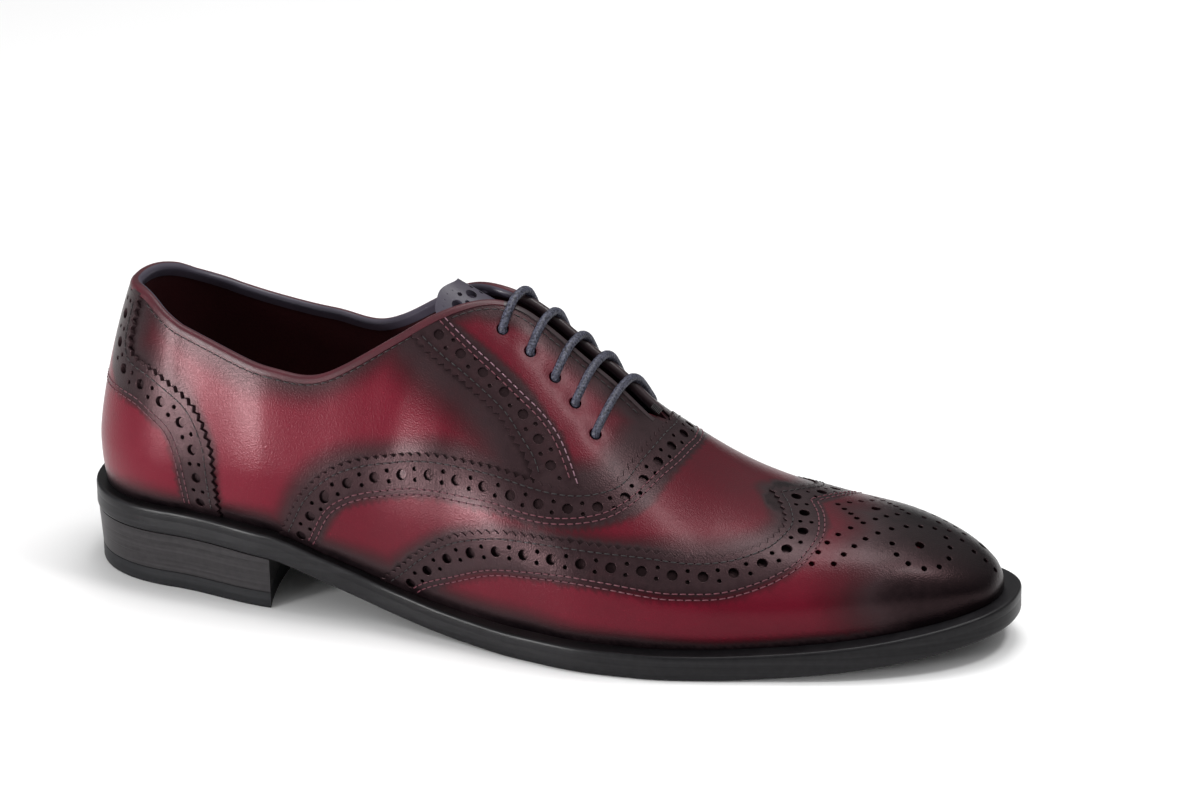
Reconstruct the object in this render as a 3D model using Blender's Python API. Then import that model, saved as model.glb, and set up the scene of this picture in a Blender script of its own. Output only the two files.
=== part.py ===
"""Full wing-tip brogue dress shoe, right foot. Metres, +X to the toe, +Y to the inner (medial) side, +Z up.
The origin is on the floor, under the middle of the outsole's box."""

import bpy
import bmesh
import numpy as np
from mathutils import Matrix, Vector

# Sole: lengths and widths over the outsole's edge
SOLE_LENGTH = 0.308
BALL_WIDTH = 0.107
OUTSOLE_THICKNESS = 0.0048
OUTSOLE_EDGE_ROUND = 0.0010
WELT_THICKNESS = 0.0032
WELT_EDGE_ROUND = 0.0006
WELT_MARGIN = 0.0060  # welt that shows round the forepart
SEAT_MARGIN = 0.0034  # welt that shows round the heel seat
WELT_UNDERLAP = 0.0090  # welt under the upper's edge and the insole
TOE_SPRING = 0.0100
TOE_SPRING_POWER = 1.9

# Heel
HEEL_HEIGHT = 0.0190
HEEL_LENGTH = 0.0710
HEEL_INSET = 0.0004
HEEL_TAPER = 0.0008
TOP_LIFT_THICKNESS = 0.0055
BREAST_RADIUS = 0.120
BREAST_HOLLOW = 0.0045
HEEL_FORM_END = 0.290  # length share to which the heel's form runs before the breast is cut

# Upper
INSTEP_HEIGHT = 0.100
WALL = 0.0020
OVERLAY_THICKNESS = 0.0010
WING_EXTRA = 0.0006  # how much further the toe cap stands out than the other overlays
INSOLE_THICKNESS = 0.0025
TONGUE_THICKNESS = 0.0020
LACE_DIAMETER = 0.0028
EYELET_DIAMETER = 0.0040
CLEARANCE = 0.0003
INSOLE_EDGE_ROUND = 0.0010

# Shares of the last's length
HEEL_CENTRE = 0.115  # behind this the sections fan round the heel
TOE_START = 0.80
TOE_CROWN_START = 0.86
MARGIN_START = 0.30
MARGIN_END = 0.55
FLAT_END = 0.70
SHANK_START = 0.15
SHANK_END = 0.52
THROAT_END = 0.612  # front end of the throat's open slit
TACK = 0.634  # where the two facings meet in front of it
TOE_ROUND = 2.35
TOE_CROWN_ROUND = 2.3
HEEL_ROUND = 2.25
BULGE_GIRTH = 0.22  # girth share at which a section is widest
BULGE_OUT = 0.7  # handles of the curve from the feather to the bulge, as shares of its overhang and height
BULGE_LOW = 0.3
BULGE_HIGH = 0.62

# Half widths as shares of the ball width
OUTLINE = (
    # x, lateral, medial
    (0.000, 0.300, 0.300),
    (0.115, 0.310, 0.320),
    (0.230, 0.362, 0.300),
    (0.340, 0.365, 0.262),
    (0.430, 0.405, 0.262),
    (0.520, 0.468, 0.345),
    (0.600, 0.500, 0.430),
    (0.660, 0.490, 0.480),
    (0.720, 0.452, 0.500),
    (0.780, 0.400, 0.485),
    (0.840, 0.350, 0.450),
    (0.900, 0.305, 0.410),
    (1.000, 0.230, 0.350),
)

# Underside of the outsole, as a share of the heel's height
SHANK = (
    # x, height
    (0.000, 1.000),
    (0.160, 1.000),
    (0.230, 0.940),
    (0.300, 0.620),
    (0.380, 0.235),
    (0.460, 0.040),
    (0.530, 0.000),
    (0.700, 0.000),
)

# Cross sections of the last. Heights are shares of the instep height, bulge of the section's height,
# overhangs of the ball width, and the handles say how full each curve is.
SECTIONS = (
    # x, height, bulge, overhang_lateral, overhang_medial, side_lateral, side_medial, top_lateral, top_medial
    (0.000, 1.000, 0.15, 0.010, 0.010, 0.14, 0.14, 0.57, 0.57),
    (0.115, 1.030, 0.16, 0.037, 0.042, 0.16, 0.16, 0.52, 0.52),
    (0.250, 1.030, 0.20, 0.037, 0.065, 0.18, 0.18, 0.44, 0.44),
    (0.380, 1.000, 0.24, 0.033, 0.075, 0.32, 0.32, 0.46, 0.42),
    (0.480, 0.900, 0.25, 0.028, 0.047, 0.36, 0.34, 0.46, 0.35),
    (0.560, 0.725, 0.26, 0.023, 0.028, 0.38, 0.33, 0.46, 0.31),
    (0.640, 0.540, 0.27, 0.019, 0.019, 0.42, 0.36, 0.48, 0.33),
    (0.720, 0.390, 0.28, 0.014, 0.014, 0.48, 0.42, 0.52, 0.39),
    (0.800, 0.312, 0.30, 0.009, 0.009, 0.54, 0.48, 0.56, 0.45),
    (0.880, 0.268, 0.32, 0.005, 0.005, 0.58, 0.50, 0.60, 0.49),
    (1.000, 0.182, 0.34, 0.000, 0.000, 0.58, 0.50, 0.62, 0.53),
)

# Where the crown lies across the shoe, as a share of the ball width
RIDGE = (
    # x, medial
    (0.00, 0.000),
    (0.30, 0.000),
    (0.50, 0.045),
    (0.70, 0.065),
    (0.85, 0.060),
    (1.00, 0.060),
)

# Upper edge of the shell, as a share of the section's girth: collar, then throat
TOPLINE = (
    # x, lateral, medial
    (0.000, 0.655, 0.655),
    (0.045, 0.648, 0.612),
    (0.070, 0.620, 0.590),
    (0.113, 0.586, 0.562),
    (0.150, 0.560, 0.538),
    (0.190, 0.536, 0.521),
    (0.227, 0.519, 0.512),
    (0.261, 0.520, 0.512),
    (0.290, 0.541, 0.526),
    (0.320, 0.586, 0.566),
    (0.350, 0.645, 0.628),
    (0.389, 0.735, 0.728),
    (0.431, 0.852, 0.852),
    (0.455, 0.925, 0.925),
    (0.612, 0.940, 0.940),
)

# Edges of the overlays: length share at each girth share
COUNTER_EDGE = (
    # girth, x
    (0.00, 0.168),
    (0.18, 0.168),
    (0.30, 0.163),
    (0.39, 0.148),
    (0.45, 0.121),
    (0.50, 0.068),
    (0.54, 0.041),
    (0.70, 0.041),
)
EYESTAY_EDGE = (
    # girth, x
    (0.480, 0.546),
    (0.547, 0.524),
    (0.605, 0.488),
    (0.644, 0.437),
    (0.683, 0.388),
    (0.720, 0.340),
    (1.000, 0.300),
)
VAMP_EDGE = (
    # girth, x
    (0.000, 0.240),
    (0.196, 0.271),
    (0.312, 0.299),
    (0.370, 0.336),
    (0.415, 0.384),
    (0.450, 0.430),
    (0.480, 0.489),
    (0.503, 0.530),
    (0.550, 0.576),
    (0.600, 0.600),
    (0.665, 0.617),
    (0.750, 0.624),
    (0.850, 0.631),
    (1.000, 0.637),
)
WING_EDGE = (
    # girth, x
    (0.000, 0.360),
    (0.158, 0.407),
    (0.247, 0.445),
    (0.309, 0.489),
    (0.359, 0.539),
    (0.410, 0.594),
    (0.460, 0.644),
    (0.516, 0.702),
    (0.555, 0.730),
    (0.600, 0.750),
    (0.700, 0.774),
    (0.800, 0.781),
    (0.870, 0.774),
    (0.940, 0.760),
    (1.000, 0.733),
)

# The tongue's outer face, as a share of the instep height below the last, and its lower edge
TONGUE = (
    # x, depth, edge_girth
    (0.370, 0.055, 0.760),
    (0.430, 0.064, 0.720),
    (0.600, 0.064, 0.740),
    (0.650, 0.042, 0.800),
    (0.700, 0.042, 0.830),
)
TONGUE_START = 0.396
TONGUE_END = 0.690
TONGUE_TOP_LEAN = 0.016  # length share by which the top corners of the tongue reach further back
TONGUE_ROWS = 12
TONGUE_COLUMNS = 10

# Eyelets and the bars of lace between them
EYELETS = (
    # x_lateral, x_medial, girth
    (0.470, 0.484, 0.831),
    (0.502, 0.517, 0.820),
    (0.531, 0.547, 0.806),
    (0.556, 0.573, 0.782),
    (0.583, 0.602, 0.740),
)

HEEL_STATIONS = 7
COLLAR_STATIONS = 18
FOREPART_STATIONS = 7
TOE_STATIONS = 7
GIRTH_ROWS = 10
LACE_POINTS = 8
LACE_LIFT = 0.0002
EDGE_GAP = 0.0035  # length share between two overlays that meet
SNAP = 0.0015  # an overlay's edge this close to a knot, as a length share, goes through it
PUNCH_DEPTH = 0.0075
PUNCH_INWARD = PUNCH_DEPTH / 4  # how far under the facing a punch is centred
PUNCH_SIDES = 12
BREAST_SEGMENTS = 96
BREAST_CUT = 4 * HEEL_HEIGHT
LACE_RESOLUTION = 2
NORMAL_STEP = 0.004  # length or girth share each way, for the slope of the last
SHARP_ANGLE = 0.6

WELT_TOP = OUTSOLE_THICKNESS + CLEARANCE + WELT_THICKNESS
FEATHER = WELT_TOP + CLEARANCE
OVERLAY_OUTER = 0.0
OVERLAY_INNER = -OVERLAY_THICKNESS
UPPER_OUTER = OVERLAY_INNER - CLEARANCE
UPPER_INNER = UPPER_OUTER - WALL


def curve(table, column, key=0):
    """Smooth curve through one column of a table, without overshoot."""
    x = np.array([row[key] for row in table], float)
    y = np.array([row[column] for row in table], float)
    step = np.diff(x)
    slope = np.diff(y) / step
    tangent = np.zeros_like(y)
    tangent[0], tangent[-1] = slope[0], slope[-1]
    for k in range(1, len(x) - 1):
        if slope[k - 1] * slope[k] > 0:
            before, after = step[k - 1], step[k]
            w1, w2 = 2 * after + before, after + 2 * before
            tangent[k] = (w1 + w2) / (w1 / slope[k - 1] + w2 / slope[k])

    def value(t):
        t = np.clip(np.asarray(t, float), x[0], x[-1])
        i = np.clip(np.searchsorted(x, t) - 1, 0, len(step) - 1)
        u = (t - x[i]) / step[i]
        start = (1 + 2 * u) * (1 - u) ** 2 * y[i] + u * (1 - u) ** 2 * step[i] * tangent[i]
        end = u * u * (3 - 2 * u) * y[i + 1] + u * u * (u - 1) * step[i] * tangent[i + 1]
        return start + end

    return value


lateral_share = curve(OUTLINE, 1)
medial_share = curve(OUTLINE, 2)
shank_share = curve(SHANK, 1)
section_height = curve(SECTIONS, 1)
section_bulge = curve(SECTIONS, 2)
section_overhang = {-1: curve(SECTIONS, 3), 1: curve(SECTIONS, 4)}
section_side = {-1: curve(SECTIONS, 5), 1: curve(SECTIONS, 6)}
section_top = {-1: curve(SECTIONS, 7), 1: curve(SECTIONS, 8)}
ridge_share = curve(RIDGE, 1)
topline = {-1: curve(TOPLINE, 1), 1: curve(TOPLINE, 2)}
counter_edge = curve(COUNTER_EDGE, 1)
eyestay_edge = curve(EYESTAY_EDGE, 1)
vamp_edge = curve(VAMP_EDGE, 1)
wing_edge = curve(WING_EDGE, 1)
tongue_depth = curve(TONGUE, 1)
tongue_edge = curve(TONGUE, 2)


def smooth(x, start, end):
    t = np.clip((x - start) / (end - start), 0, 1)
    return t * t * (3 - 2 * t)


def superellipse_fall(x, start, power):
    """1 up to start, then falls to 0 at the end of the last as a rounded toe does."""
    q = np.clip((x - start) / (1 - start), 0, 1)
    return (1 - q**power) ** (1 / power)


def underside(position):
    """Height of the outsole's underside at a place along the shoe."""
    share = position / SOLE_LENGTH + 0.5
    toe = np.clip((share - FLAT_END) / (1 - FLAT_END), 0, 1)
    return HEEL_HEIGHT * shank_share(share) + TOE_SPRING * toe**TOE_SPRING_POWER


def plan(x, side, inset, extra=0.0):
    """Section plane at a length share: its foot (x, y), its direction and its reach to the outline.
    Inset 0 is the outsole's edge and 1 is the feather line; extra moves the outline further in."""
    back = -SOLE_LENGTH / 2 + inset * SEAT_MARGIN + extra
    front = SOLE_LENGTH / 2 - inset * WELT_MARGIN - extra
    run = front - back
    margin = inset * (SEAT_MARGIN + (WELT_MARGIN - SEAT_MARGIN) * smooth(x, MARGIN_START, MARGIN_END)) + extra
    lateral = lateral_share(x) * BALL_WIDTH - margin
    medial = medial_share(x) * BALL_WIDTH - margin
    half = (lateral + medial) / 2 * superellipse_fall(x, TOE_START, TOE_ROUND)
    centre = (medial - lateral) / 2
    if x >= HEEL_CENTRE:
        return np.array([back + x * run, centre]), np.array([0.0, side]), half
    angle = np.arcsin(1 - x / HEEL_CENTRE)
    across, along = np.cos(angle) / half, np.sin(angle) / (HEEL_CENTRE * run)
    reach = (across**HEEL_ROUND + along**HEEL_ROUND) ** (-1 / HEEL_ROUND)
    foot = np.array([back + HEEL_CENTRE * run, centre * np.cos(angle)])
    return foot, np.array([-np.sin(angle), side * np.cos(angle)]), reach


def outline(x, side, inset, extra=0.0):
    foot, direction, reach = plan(x, side, inset, extra)
    return foot + direction * reach


def bezier(t, a, b, c, d):
    return (1 - t) ** 3 * a + 3 * t * (1 - t) ** 2 * b + 3 * t * t * (1 - t) * c + t**3 * d


def last_point(x, girth, side, offset=0.0):
    """Point of the last at a length share and a girth share: 0 at the feather, 1 at the crown."""
    foot, direction, reach = plan(x, side, 1, -offset)
    height = (section_height(x) * INSTEP_HEIGHT + offset) * superellipse_fall(x, TOE_CROWN_START, TOE_CROWN_ROUND)
    overhang = section_overhang[side](x) * BALL_WIDTH * superellipse_fall(x, TOE_START, TOE_ROUND)
    edge = foot + direction * reach
    low = underside(edge[0]) + FEATHER
    bulge = low + section_bulge(x) * height
    top = low + height
    wide = reach + overhang
    across = abs(direction[1])
    crown = side * (ridge_share(x) * BALL_WIDTH * across - foot[1]) * across
    if girth < BULGE_GIRTH:
        t = girth / BULGE_GIRTH
        out = bezier(t, reach, reach + BULGE_OUT * overhang, wide, wide)
        up = bezier(t, low, low + BULGE_LOW * (bulge - low), low + BULGE_HIGH * (bulge - low), bulge)
    else:
        t = (girth - BULGE_GIRTH) / (1 - BULGE_GIRTH)
        out = bezier(t, wide, wide, crown + (wide - crown) * section_top[side](x), crown)
        up = bezier(t, bulge, bulge + (top - bulge) * section_side[side](x), top, top)
    place = foot + direction * out
    return np.array([place[0], place[1], up])


def stations():
    """Length shares from the heel's back to the toe's tip, close together where the outline turns."""
    heel = HEEL_CENTRE * (1 - np.cos(np.linspace(0, np.pi / 2, HEEL_STATIONS + 1)))[:-1]
    collar = np.linspace(HEEL_CENTRE, THROAT_END, COLLAR_STATIONS)
    forepart = np.linspace(TACK, TOE_START, FOREPART_STATIONS)
    toe = TOE_START + (1 - TOE_START) * np.sin(np.linspace(0, np.pi / 2, TOE_STATIONS + 1))[1:]
    return np.concatenate([heel, collar, forepart, toe])


def sole_stations():
    """The shell's stations, twice as close along the shank, where the sole bends."""
    bends = [x for x in STATIONS if SHANK_START <= x <= SHANK_END]
    between = [(a + b) / 2 for a, b in zip(bends, bends[1:])]
    return np.sort(np.concatenate([STATIONS, between]))


STATIONS = stations()
SOLE_STATIONS = sole_stations()


def top_girth(x, side):
    """Girth share where the shell ends: its collar, its throat, or the crown in front of the throat."""
    if x > THROAT_END:
        return 1.0
    return float(topline[side](x))


def lattice():
    """Knots (x, girth, side) of the shell from outer toe over heel to inner toe, and their triangles."""
    columns = [(x, -1) for x in STATIONS[::-1]] + [(x, 1) for x in STATIONS[1:]]
    shares = np.linspace(0, 1, GIRTH_ROWS + 1)
    knots = [(x, share * top_girth(x, side), side) for x, side in columns for share in shares]
    triangles = []
    for c in range(len(columns) - 1):
        for r in range(GIRTH_ROWS):
            a = c * (GIRTH_ROWS + 1) + r
            b = a + GIRTH_ROWS + 1
            triangles.append((a, b, b + 1))
            triangles.append((a, b + 1, a + 1))
    return knots, triangles


def welded(points, triangles):
    """Knots that share one place made one, as at the toe's tip and along the crown."""
    first = {}
    index = [first.setdefault(tuple(np.round(p.ravel(), 6)), i) for i, p in enumerate(points)]
    triangles = [tuple(index[i] for i in triangle) for triangle in triangles]
    return [triangle for triangle in triangles if len(set(triangle)) == 3]


def clipped(points, values, triangles):
    """The part of a triangulated pair of sheets where the value is positive, cut along its zero line."""
    points = list(points)
    kept, cuts = [], {}
    for triangle in triangles:
        ring = []
        for i, j in zip(triangle, triangle[1:] + triangle[:1]):
            if values[i] >= 0:
                ring.append(i)
            if values[i] * values[j] < 0:
                key = (min(i, j), max(i, j))
                if key not in cuts:
                    share = values[key[0]] / (values[key[0]] - values[key[1]])
                    cuts[key] = len(points)
                    points.append(points[key[0]] + (points[key[1]] - points[key[0]]) * share)
                ring.append(cuts[key])
        for k in range(1, len(ring) - 1):
            kept.append((ring[0], ring[k], ring[k + 1]))
    return np.array(points), kept


def rim_edges(triangles):
    """Directed edges that only one triangle has."""
    edges = {(a, b) for t in triangles for a, b in zip(t, t[1:] + t[:1])}
    return [(a, b) for a, b in edges if (b, a) not in edges]


def leather(name, colour, roughness):
    material = bpy.data.materials.new(name)
    material.use_nodes = True
    shader = material.node_tree.nodes["Principled BSDF"]
    shader.inputs["Base Color"].default_value = (*colour, 1.0)
    shader.inputs["Roughness"].default_value = roughness
    shader.inputs["Metallic"].default_value = 0.0
    material.diffuse_color = (*colour, 1.0)
    return material


def solid(name, points, faces, material):
    """Closed mesh object: repeated points welded, normals outward, shaded smooth but at its corners."""
    keys, first = [], {}
    for point in points:
        keys.append(first.setdefault(tuple(np.round(point, 7)), len(first)))
    mesh = bpy.data.meshes.new(name)
    rings = []
    for face in faces:
        ring = [keys[i] for i in face]
        ring = [k for n, k in enumerate(ring) if k != ring[n - 1]]
        if len(ring) > 2:
            rings.append(ring)
    mesh.from_pydata(list(first), [], rings)
    body = bmesh.new()
    body.from_mesh(mesh)
    bmesh.ops.recalc_face_normals(body, faces=body.faces)
    body.to_mesh(mesh)
    body.free()
    mesh.materials.append(material)
    mesh.shade_smooth()
    mesh.set_sharp_from_angle(angle=SHARP_ANGLE)
    piece = bpy.data.objects.new(name, mesh)
    shoe.objects.link(piece)
    return piece


def between_sheets(name, inner, outer, triangles, material):
    """Solid between two sheets that share their triangles, closed round their rim."""
    used = sorted({i for t in triangles for i in t})
    place = {i: n for n, i in enumerate(used)}
    count = len(used)
    faces = [tuple(place[i] for i in t) for t in triangles]
    faces += [tuple(count + place[i] for i in reversed(t)) for t in triangles]
    faces += [(place[b], place[a], count + place[a], count + place[b]) for a, b in rim_edges(triangles)]
    return solid(name, [outer[i] for i in used] + [inner[i] for i in used], faces, material)


def leather_piece(name, inner, outer, inside, material):
    """Piece of the upper between two offsets of the last, where inside(x, girth, side) is positive."""
    knots, triangles = lattice()
    points = np.array([[last_point(x, g, side, off) for off in (inner, outer)] for x, g, side in knots])
    triangles = welded(points, triangles)
    values = np.array([float(inside(*knot)) for knot in knots])
    values[np.abs(values) < SNAP] = 0.0
    points, triangles = clipped(points, values, triangles)
    return between_sheets(name, points[:, 0], points[:, 1], triangles, material)


def stacked(name, shares, rings, material, hollow=False):
    """Solid from rings round the sole. Each ring gives a point for (share, side); the ends are capped
    with strips across the shoe, or for a hollow strip of welt the last ring closes onto the first."""
    count = len(shares)
    points = [ring(x, side) for ring in rings for side in (-1, 1) for x in shares]

    def at(ring, side, k):
        return ((ring % len(rings)) * 2 + (side > 0)) * count + k

    faces = []
    for ring in range(len(rings) if hollow else len(rings) - 1):
        for k in range(count - 1):
            for side in (-1, 1):
                low = (at(ring, side, k), at(ring, side, k + 1))
                high = (at(ring + 1, side, k + 1), at(ring + 1, side, k))
                faces.append((low + high)[::side])
        last = count - 1
        faces.append((at(ring, -1, last), at(ring, 1, last), at(ring + 1, 1, last), at(ring + 1, -1, last)))
    for ring, turn in ((0, 1), (len(rings) - 1, -1)) if not hollow else ():
        for k in range(count - 1):
            strip = (at(ring, -1, k), at(ring, -1, k + 1), at(ring, 1, k + 1), at(ring, 1, k))
            faces.append(strip[::turn])
    return solid(name, points, faces, material)


def sole_ring(inset, extra, height):
    """Ring of a plate of the sole: its outline, with the height given by its place along the shoe."""

    def ring(x, side):
        place = outline(x, side, inset, extra)
        return np.array([place[0], place[1], height(place[0])])

    return ring


def above_outsole(height):
    return lambda position: underside(position) + height


def make_outsole(material):
    rounded = OUTSOLE_EDGE_ROUND
    rings = [
        sole_ring(0, rounded, above_outsole(0)),
        sole_ring(0, 0, above_outsole(rounded)),
        sole_ring(0, 0, above_outsole(OUTSOLE_THICKNESS)),
    ]
    return stacked("outsole", SOLE_STATIONS, rings, material)


def make_welt(material):
    low = OUTSOLE_THICKNESS + CLEARANCE
    rings = [
        sole_ring(0, 0, above_outsole(low)),
        sole_ring(0, 0, above_outsole(WELT_TOP - WELT_EDGE_ROUND)),
        sole_ring(0, WELT_EDGE_ROUND, above_outsole(WELT_TOP)),
        sole_ring(1, WELT_UNDERLAP, above_outsole(WELT_TOP)),
        sole_ring(1, WELT_UNDERLAP, above_outsole(low)),
    ]
    return stacked("welt", SOLE_STATIONS, rings, material, hollow=True)


def make_insole(material):
    inset = CLEARANCE - UPPER_INNER
    rings = [
        sole_ring(1, inset, above_outsole(FEATHER)),
        sole_ring(1, inset + INSOLE_EDGE_ROUND, above_outsole(FEATHER + INSOLE_THICKNESS)),
    ]
    return stacked("insole", SOLE_STATIONS, rings, material)


def heel_breast_cutter():
    """Upright cylinder that hollows the heel's front face."""
    back = -SOLE_LENGTH / 2
    cutter_mesh = bpy.data.meshes.new("breast_cutter")
    body = bmesh.new()
    bmesh.ops.create_cone(
        body,
        cap_ends=True,
        segments=BREAST_SEGMENTS,
        radius1=BREAST_RADIUS,
        radius2=BREAST_RADIUS,
        depth=BREAST_CUT,
    )
    body.to_mesh(cutter_mesh)
    body.free()
    cutter = bpy.data.objects.new("breast_cutter", cutter_mesh)
    cutter.location = (back + HEEL_LENGTH - BREAST_HOLLOW + BREAST_RADIUS, 0, 0)
    return as_cutter(cutter)


def as_cutter(cutter):
    cutter.hide_render = True
    cutter.display_type = "WIRE"
    cutters.objects.link(cutter)
    return cutter


def cut(piece, cutter):
    modifier = piece.modifiers.new(cutter.name, "BOOLEAN")
    modifier.operation = "DIFFERENCE"
    modifier.object = cutter


def make_heel(stack_material, rubber):
    shares = [x for x in SOLE_STATIONS if x < HEEL_FORM_END] + [HEEL_FORM_END]
    inset, taper = HEEL_INSET, HEEL_INSET + HEEL_TAPER
    stack_rings = [
        sole_ring(0, taper, lambda position: TOP_LIFT_THICKNESS + CLEARANCE),
        sole_ring(0, inset, lambda position: underside(position) - CLEARANCE),
    ]
    lift_rings = [
        sole_ring(0, taper, lambda position: 0.0),
        sole_ring(0, taper, lambda position: TOP_LIFT_THICKNESS),
    ]
    cutter = heel_breast_cutter()
    cut(stacked("heel_stack", shares, stack_rings, stack_material), cutter)
    cut(stacked("heel_top_lift", shares, lift_rings, rubber), cutter)


def make_tongue(material):
    """Curved sheet under the throat, its top rounded and standing above the collar's front."""
    across = np.linspace(-1, 1, TONGUE_COLUMNS + 1)
    knots = []
    for along in np.linspace(0, 1, TONGUE_ROWS + 1):
        for s in across:
            start = TONGUE_START - TONGUE_TOP_LEAN * s * s
            x = start + (TONGUE_END - start) * along
            knots.append((x, 1 - abs(s) * (1 - float(tongue_edge(x))), -1 if s < 0 else 1))
    width = len(across)
    triangles = []
    for r in range(TONGUE_ROWS):
        for c in range(width - 1):
            a = r * width + c
            triangles.append((a, a + 1, a + width + 1))
            triangles.append((a, a + width + 1, a + width))
    sheets = []
    for depth in (TONGUE_THICKNESS, 0.0):
        sheets.append([last_point(x, g, s, -float(tongue_depth(x)) * INSTEP_HEIGHT - depth) for x, g, s in knots])
    return between_sheets("tongue", sheets[0], sheets[1], triangles, material)


def eyelet_axis(x, girth, side):
    """Place and outward normal of the facing at an eyelet."""
    step = NORMAL_STEP
    place = last_point(x, girth, side)
    along = last_point(x + step, girth, side) - last_point(x - step, girth, side)
    around = last_point(x, girth + step, side) - last_point(x, girth - step, side)
    normal = np.cross(along, around) * -side
    return Vector(place), Vector(normal / np.linalg.norm(normal))


def eyelet_cutter(side):
    """The row of punched holes on one side, as one cutter."""
    mesh = bpy.data.meshes.new("punch")
    body = bmesh.new()
    for x_lateral, x_medial, girth in EYELETS:
        place, normal = eyelet_axis(x_lateral if side < 0 else x_medial, girth, side)
        turn = normal.to_track_quat("Z", "Y").to_matrix().to_4x4()
        radius = EYELET_DIAMETER / 2
        bmesh.ops.create_cone(
            body,
            cap_ends=True,
            segments=PUNCH_SIDES,
            radius1=radius,
            radius2=radius,
            depth=PUNCH_DEPTH,
            matrix=Matrix.Translation(place - normal * PUNCH_INWARD) @ turn,
        )
    body.to_mesh(mesh)
    body.free()
    return as_cutter(bpy.data.objects.new("punch_lateral" if side < 0 else "punch_medial", mesh))


def make_lace_bars(material):
    """The straight runs of lace over the throat, from eyelet to eyelet."""
    lift = OVERLAY_OUTER + CLEARANCE + LACE_LIFT + LACE_DIAMETER / 2
    for number, (x_lateral, x_medial, girth) in enumerate(EYELETS, 1):
        name = f"lace_bar_{number}"
        data = bpy.data.curves.new(name, "CURVE")
        data.dimensions = "3D"
        data.bevel_depth = LACE_DIAMETER / 2
        data.bevel_resolution = LACE_RESOLUTION
        data.use_fill_caps = True
        line = data.splines.new("POLY")
        line.points.add(LACE_POINTS - 1)
        for point, s in zip(line.points, np.linspace(-1, 1, LACE_POINTS)):
            x = x_lateral + (x_medial - x_lateral) * (s + 1) / 2
            place = last_point(x, 1 - abs(s) * (1 - girth), -1 if s < 0 else 1, lift)
            point.co = (*place, 1.0)
        data.materials.append(material)
        shoe.objects.link(bpy.data.objects.new(name, data))


def in_wing(x, girth, side):
    return x - wing_edge(girth)


def in_vamp(x, girth, side):
    return min(x - vamp_edge(girth), wing_edge(girth) - EDGE_GAP - x)


def in_eyestay(own_side):
    def inside(x, girth, side):
        if side != own_side:
            return -1.0
        return min(x - eyestay_edge(girth), vamp_edge(girth) - EDGE_GAP - x)

    return inside


def in_counter(x, girth, side):
    return counter_edge(girth) - x


def make_upper(burgundy, brown):
    upper = leather_piece("upper", UPPER_INNER, UPPER_OUTER, lambda *knot: 1.0, burgundy)
    leather_piece("vamp", OVERLAY_INNER, OVERLAY_OUTER, in_vamp, burgundy)
    leather_piece("wing_cap", OVERLAY_INNER, OVERLAY_OUTER + WING_EXTRA, in_wing, brown)
    leather_piece("heel_counter", OVERLAY_INNER, OVERLAY_OUTER, in_counter, brown)
    for name, side in (("eyestay_lateral", -1), ("eyestay_medial", 1)):
        facing = leather_piece(name, OVERLAY_INNER, OVERLAY_OUTER, in_eyestay(side), burgundy)
        punch = eyelet_cutter(side)
        cut(upper, punch)
        cut(facing, punch)


for old in list(bpy.data.objects):
    bpy.data.objects.remove(old)
shoe = bpy.data.collections.new("brogue_dress_shoe")
cutters = bpy.data.collections.new("cutters")
for group in (shoe, cutters):
    bpy.context.scene.collection.children.link(group)

burgundy = leather("burgundy_leather", (0.22, 0.022, 0.045), 0.35)
dark_burgundy = leather("burnished_leather", (0.10, 0.025, 0.035), 0.35)
edge_black = leather("edge_black", (0.018, 0.017, 0.018), 0.40)
natural = leather("natural_leather", (0.50, 0.30, 0.15), 0.60)
rubber = leather("black_rubber", (0.015, 0.015, 0.016), 0.60)
lining = leather("lining_leather", (0.10, 0.020, 0.028), 0.50)
navy = leather("navy_leather", (0.035, 0.035, 0.055), 0.45)
cord = leather("waxed_cord", (0.025, 0.025, 0.050), 0.60)

make_outsole(natural)
make_welt(edge_black)
make_insole(lining)
make_heel(edge_black, rubber)
make_upper(burgundy, dark_burgundy)
make_tongue(navy)
make_lace_bars(cord)
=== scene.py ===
"""Looks of the brogue dress shoe, right foot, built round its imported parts. Metres, +X to the toe, +Y to the
inner (medial) side, +Z up."""

import bpy
import numpy as np
from mathutils import Matrix, Vector
from mathutils.geometry import delaunay_2d_cdt
from mathutils.kdtree import KDTree


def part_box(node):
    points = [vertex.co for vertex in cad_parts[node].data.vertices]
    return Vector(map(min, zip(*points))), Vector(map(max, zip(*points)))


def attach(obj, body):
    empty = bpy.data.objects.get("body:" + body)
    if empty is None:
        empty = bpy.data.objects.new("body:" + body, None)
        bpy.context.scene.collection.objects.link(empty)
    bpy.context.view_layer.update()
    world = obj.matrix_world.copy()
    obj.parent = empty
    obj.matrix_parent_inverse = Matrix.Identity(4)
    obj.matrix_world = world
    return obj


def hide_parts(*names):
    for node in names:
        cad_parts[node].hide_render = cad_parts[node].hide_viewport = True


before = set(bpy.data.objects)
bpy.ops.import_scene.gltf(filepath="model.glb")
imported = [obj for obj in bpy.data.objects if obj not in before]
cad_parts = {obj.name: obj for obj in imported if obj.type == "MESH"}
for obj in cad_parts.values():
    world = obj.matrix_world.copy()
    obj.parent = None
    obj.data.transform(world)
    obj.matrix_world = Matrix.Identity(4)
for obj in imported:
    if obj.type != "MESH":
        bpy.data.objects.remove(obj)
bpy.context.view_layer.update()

MM = 0.001

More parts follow.
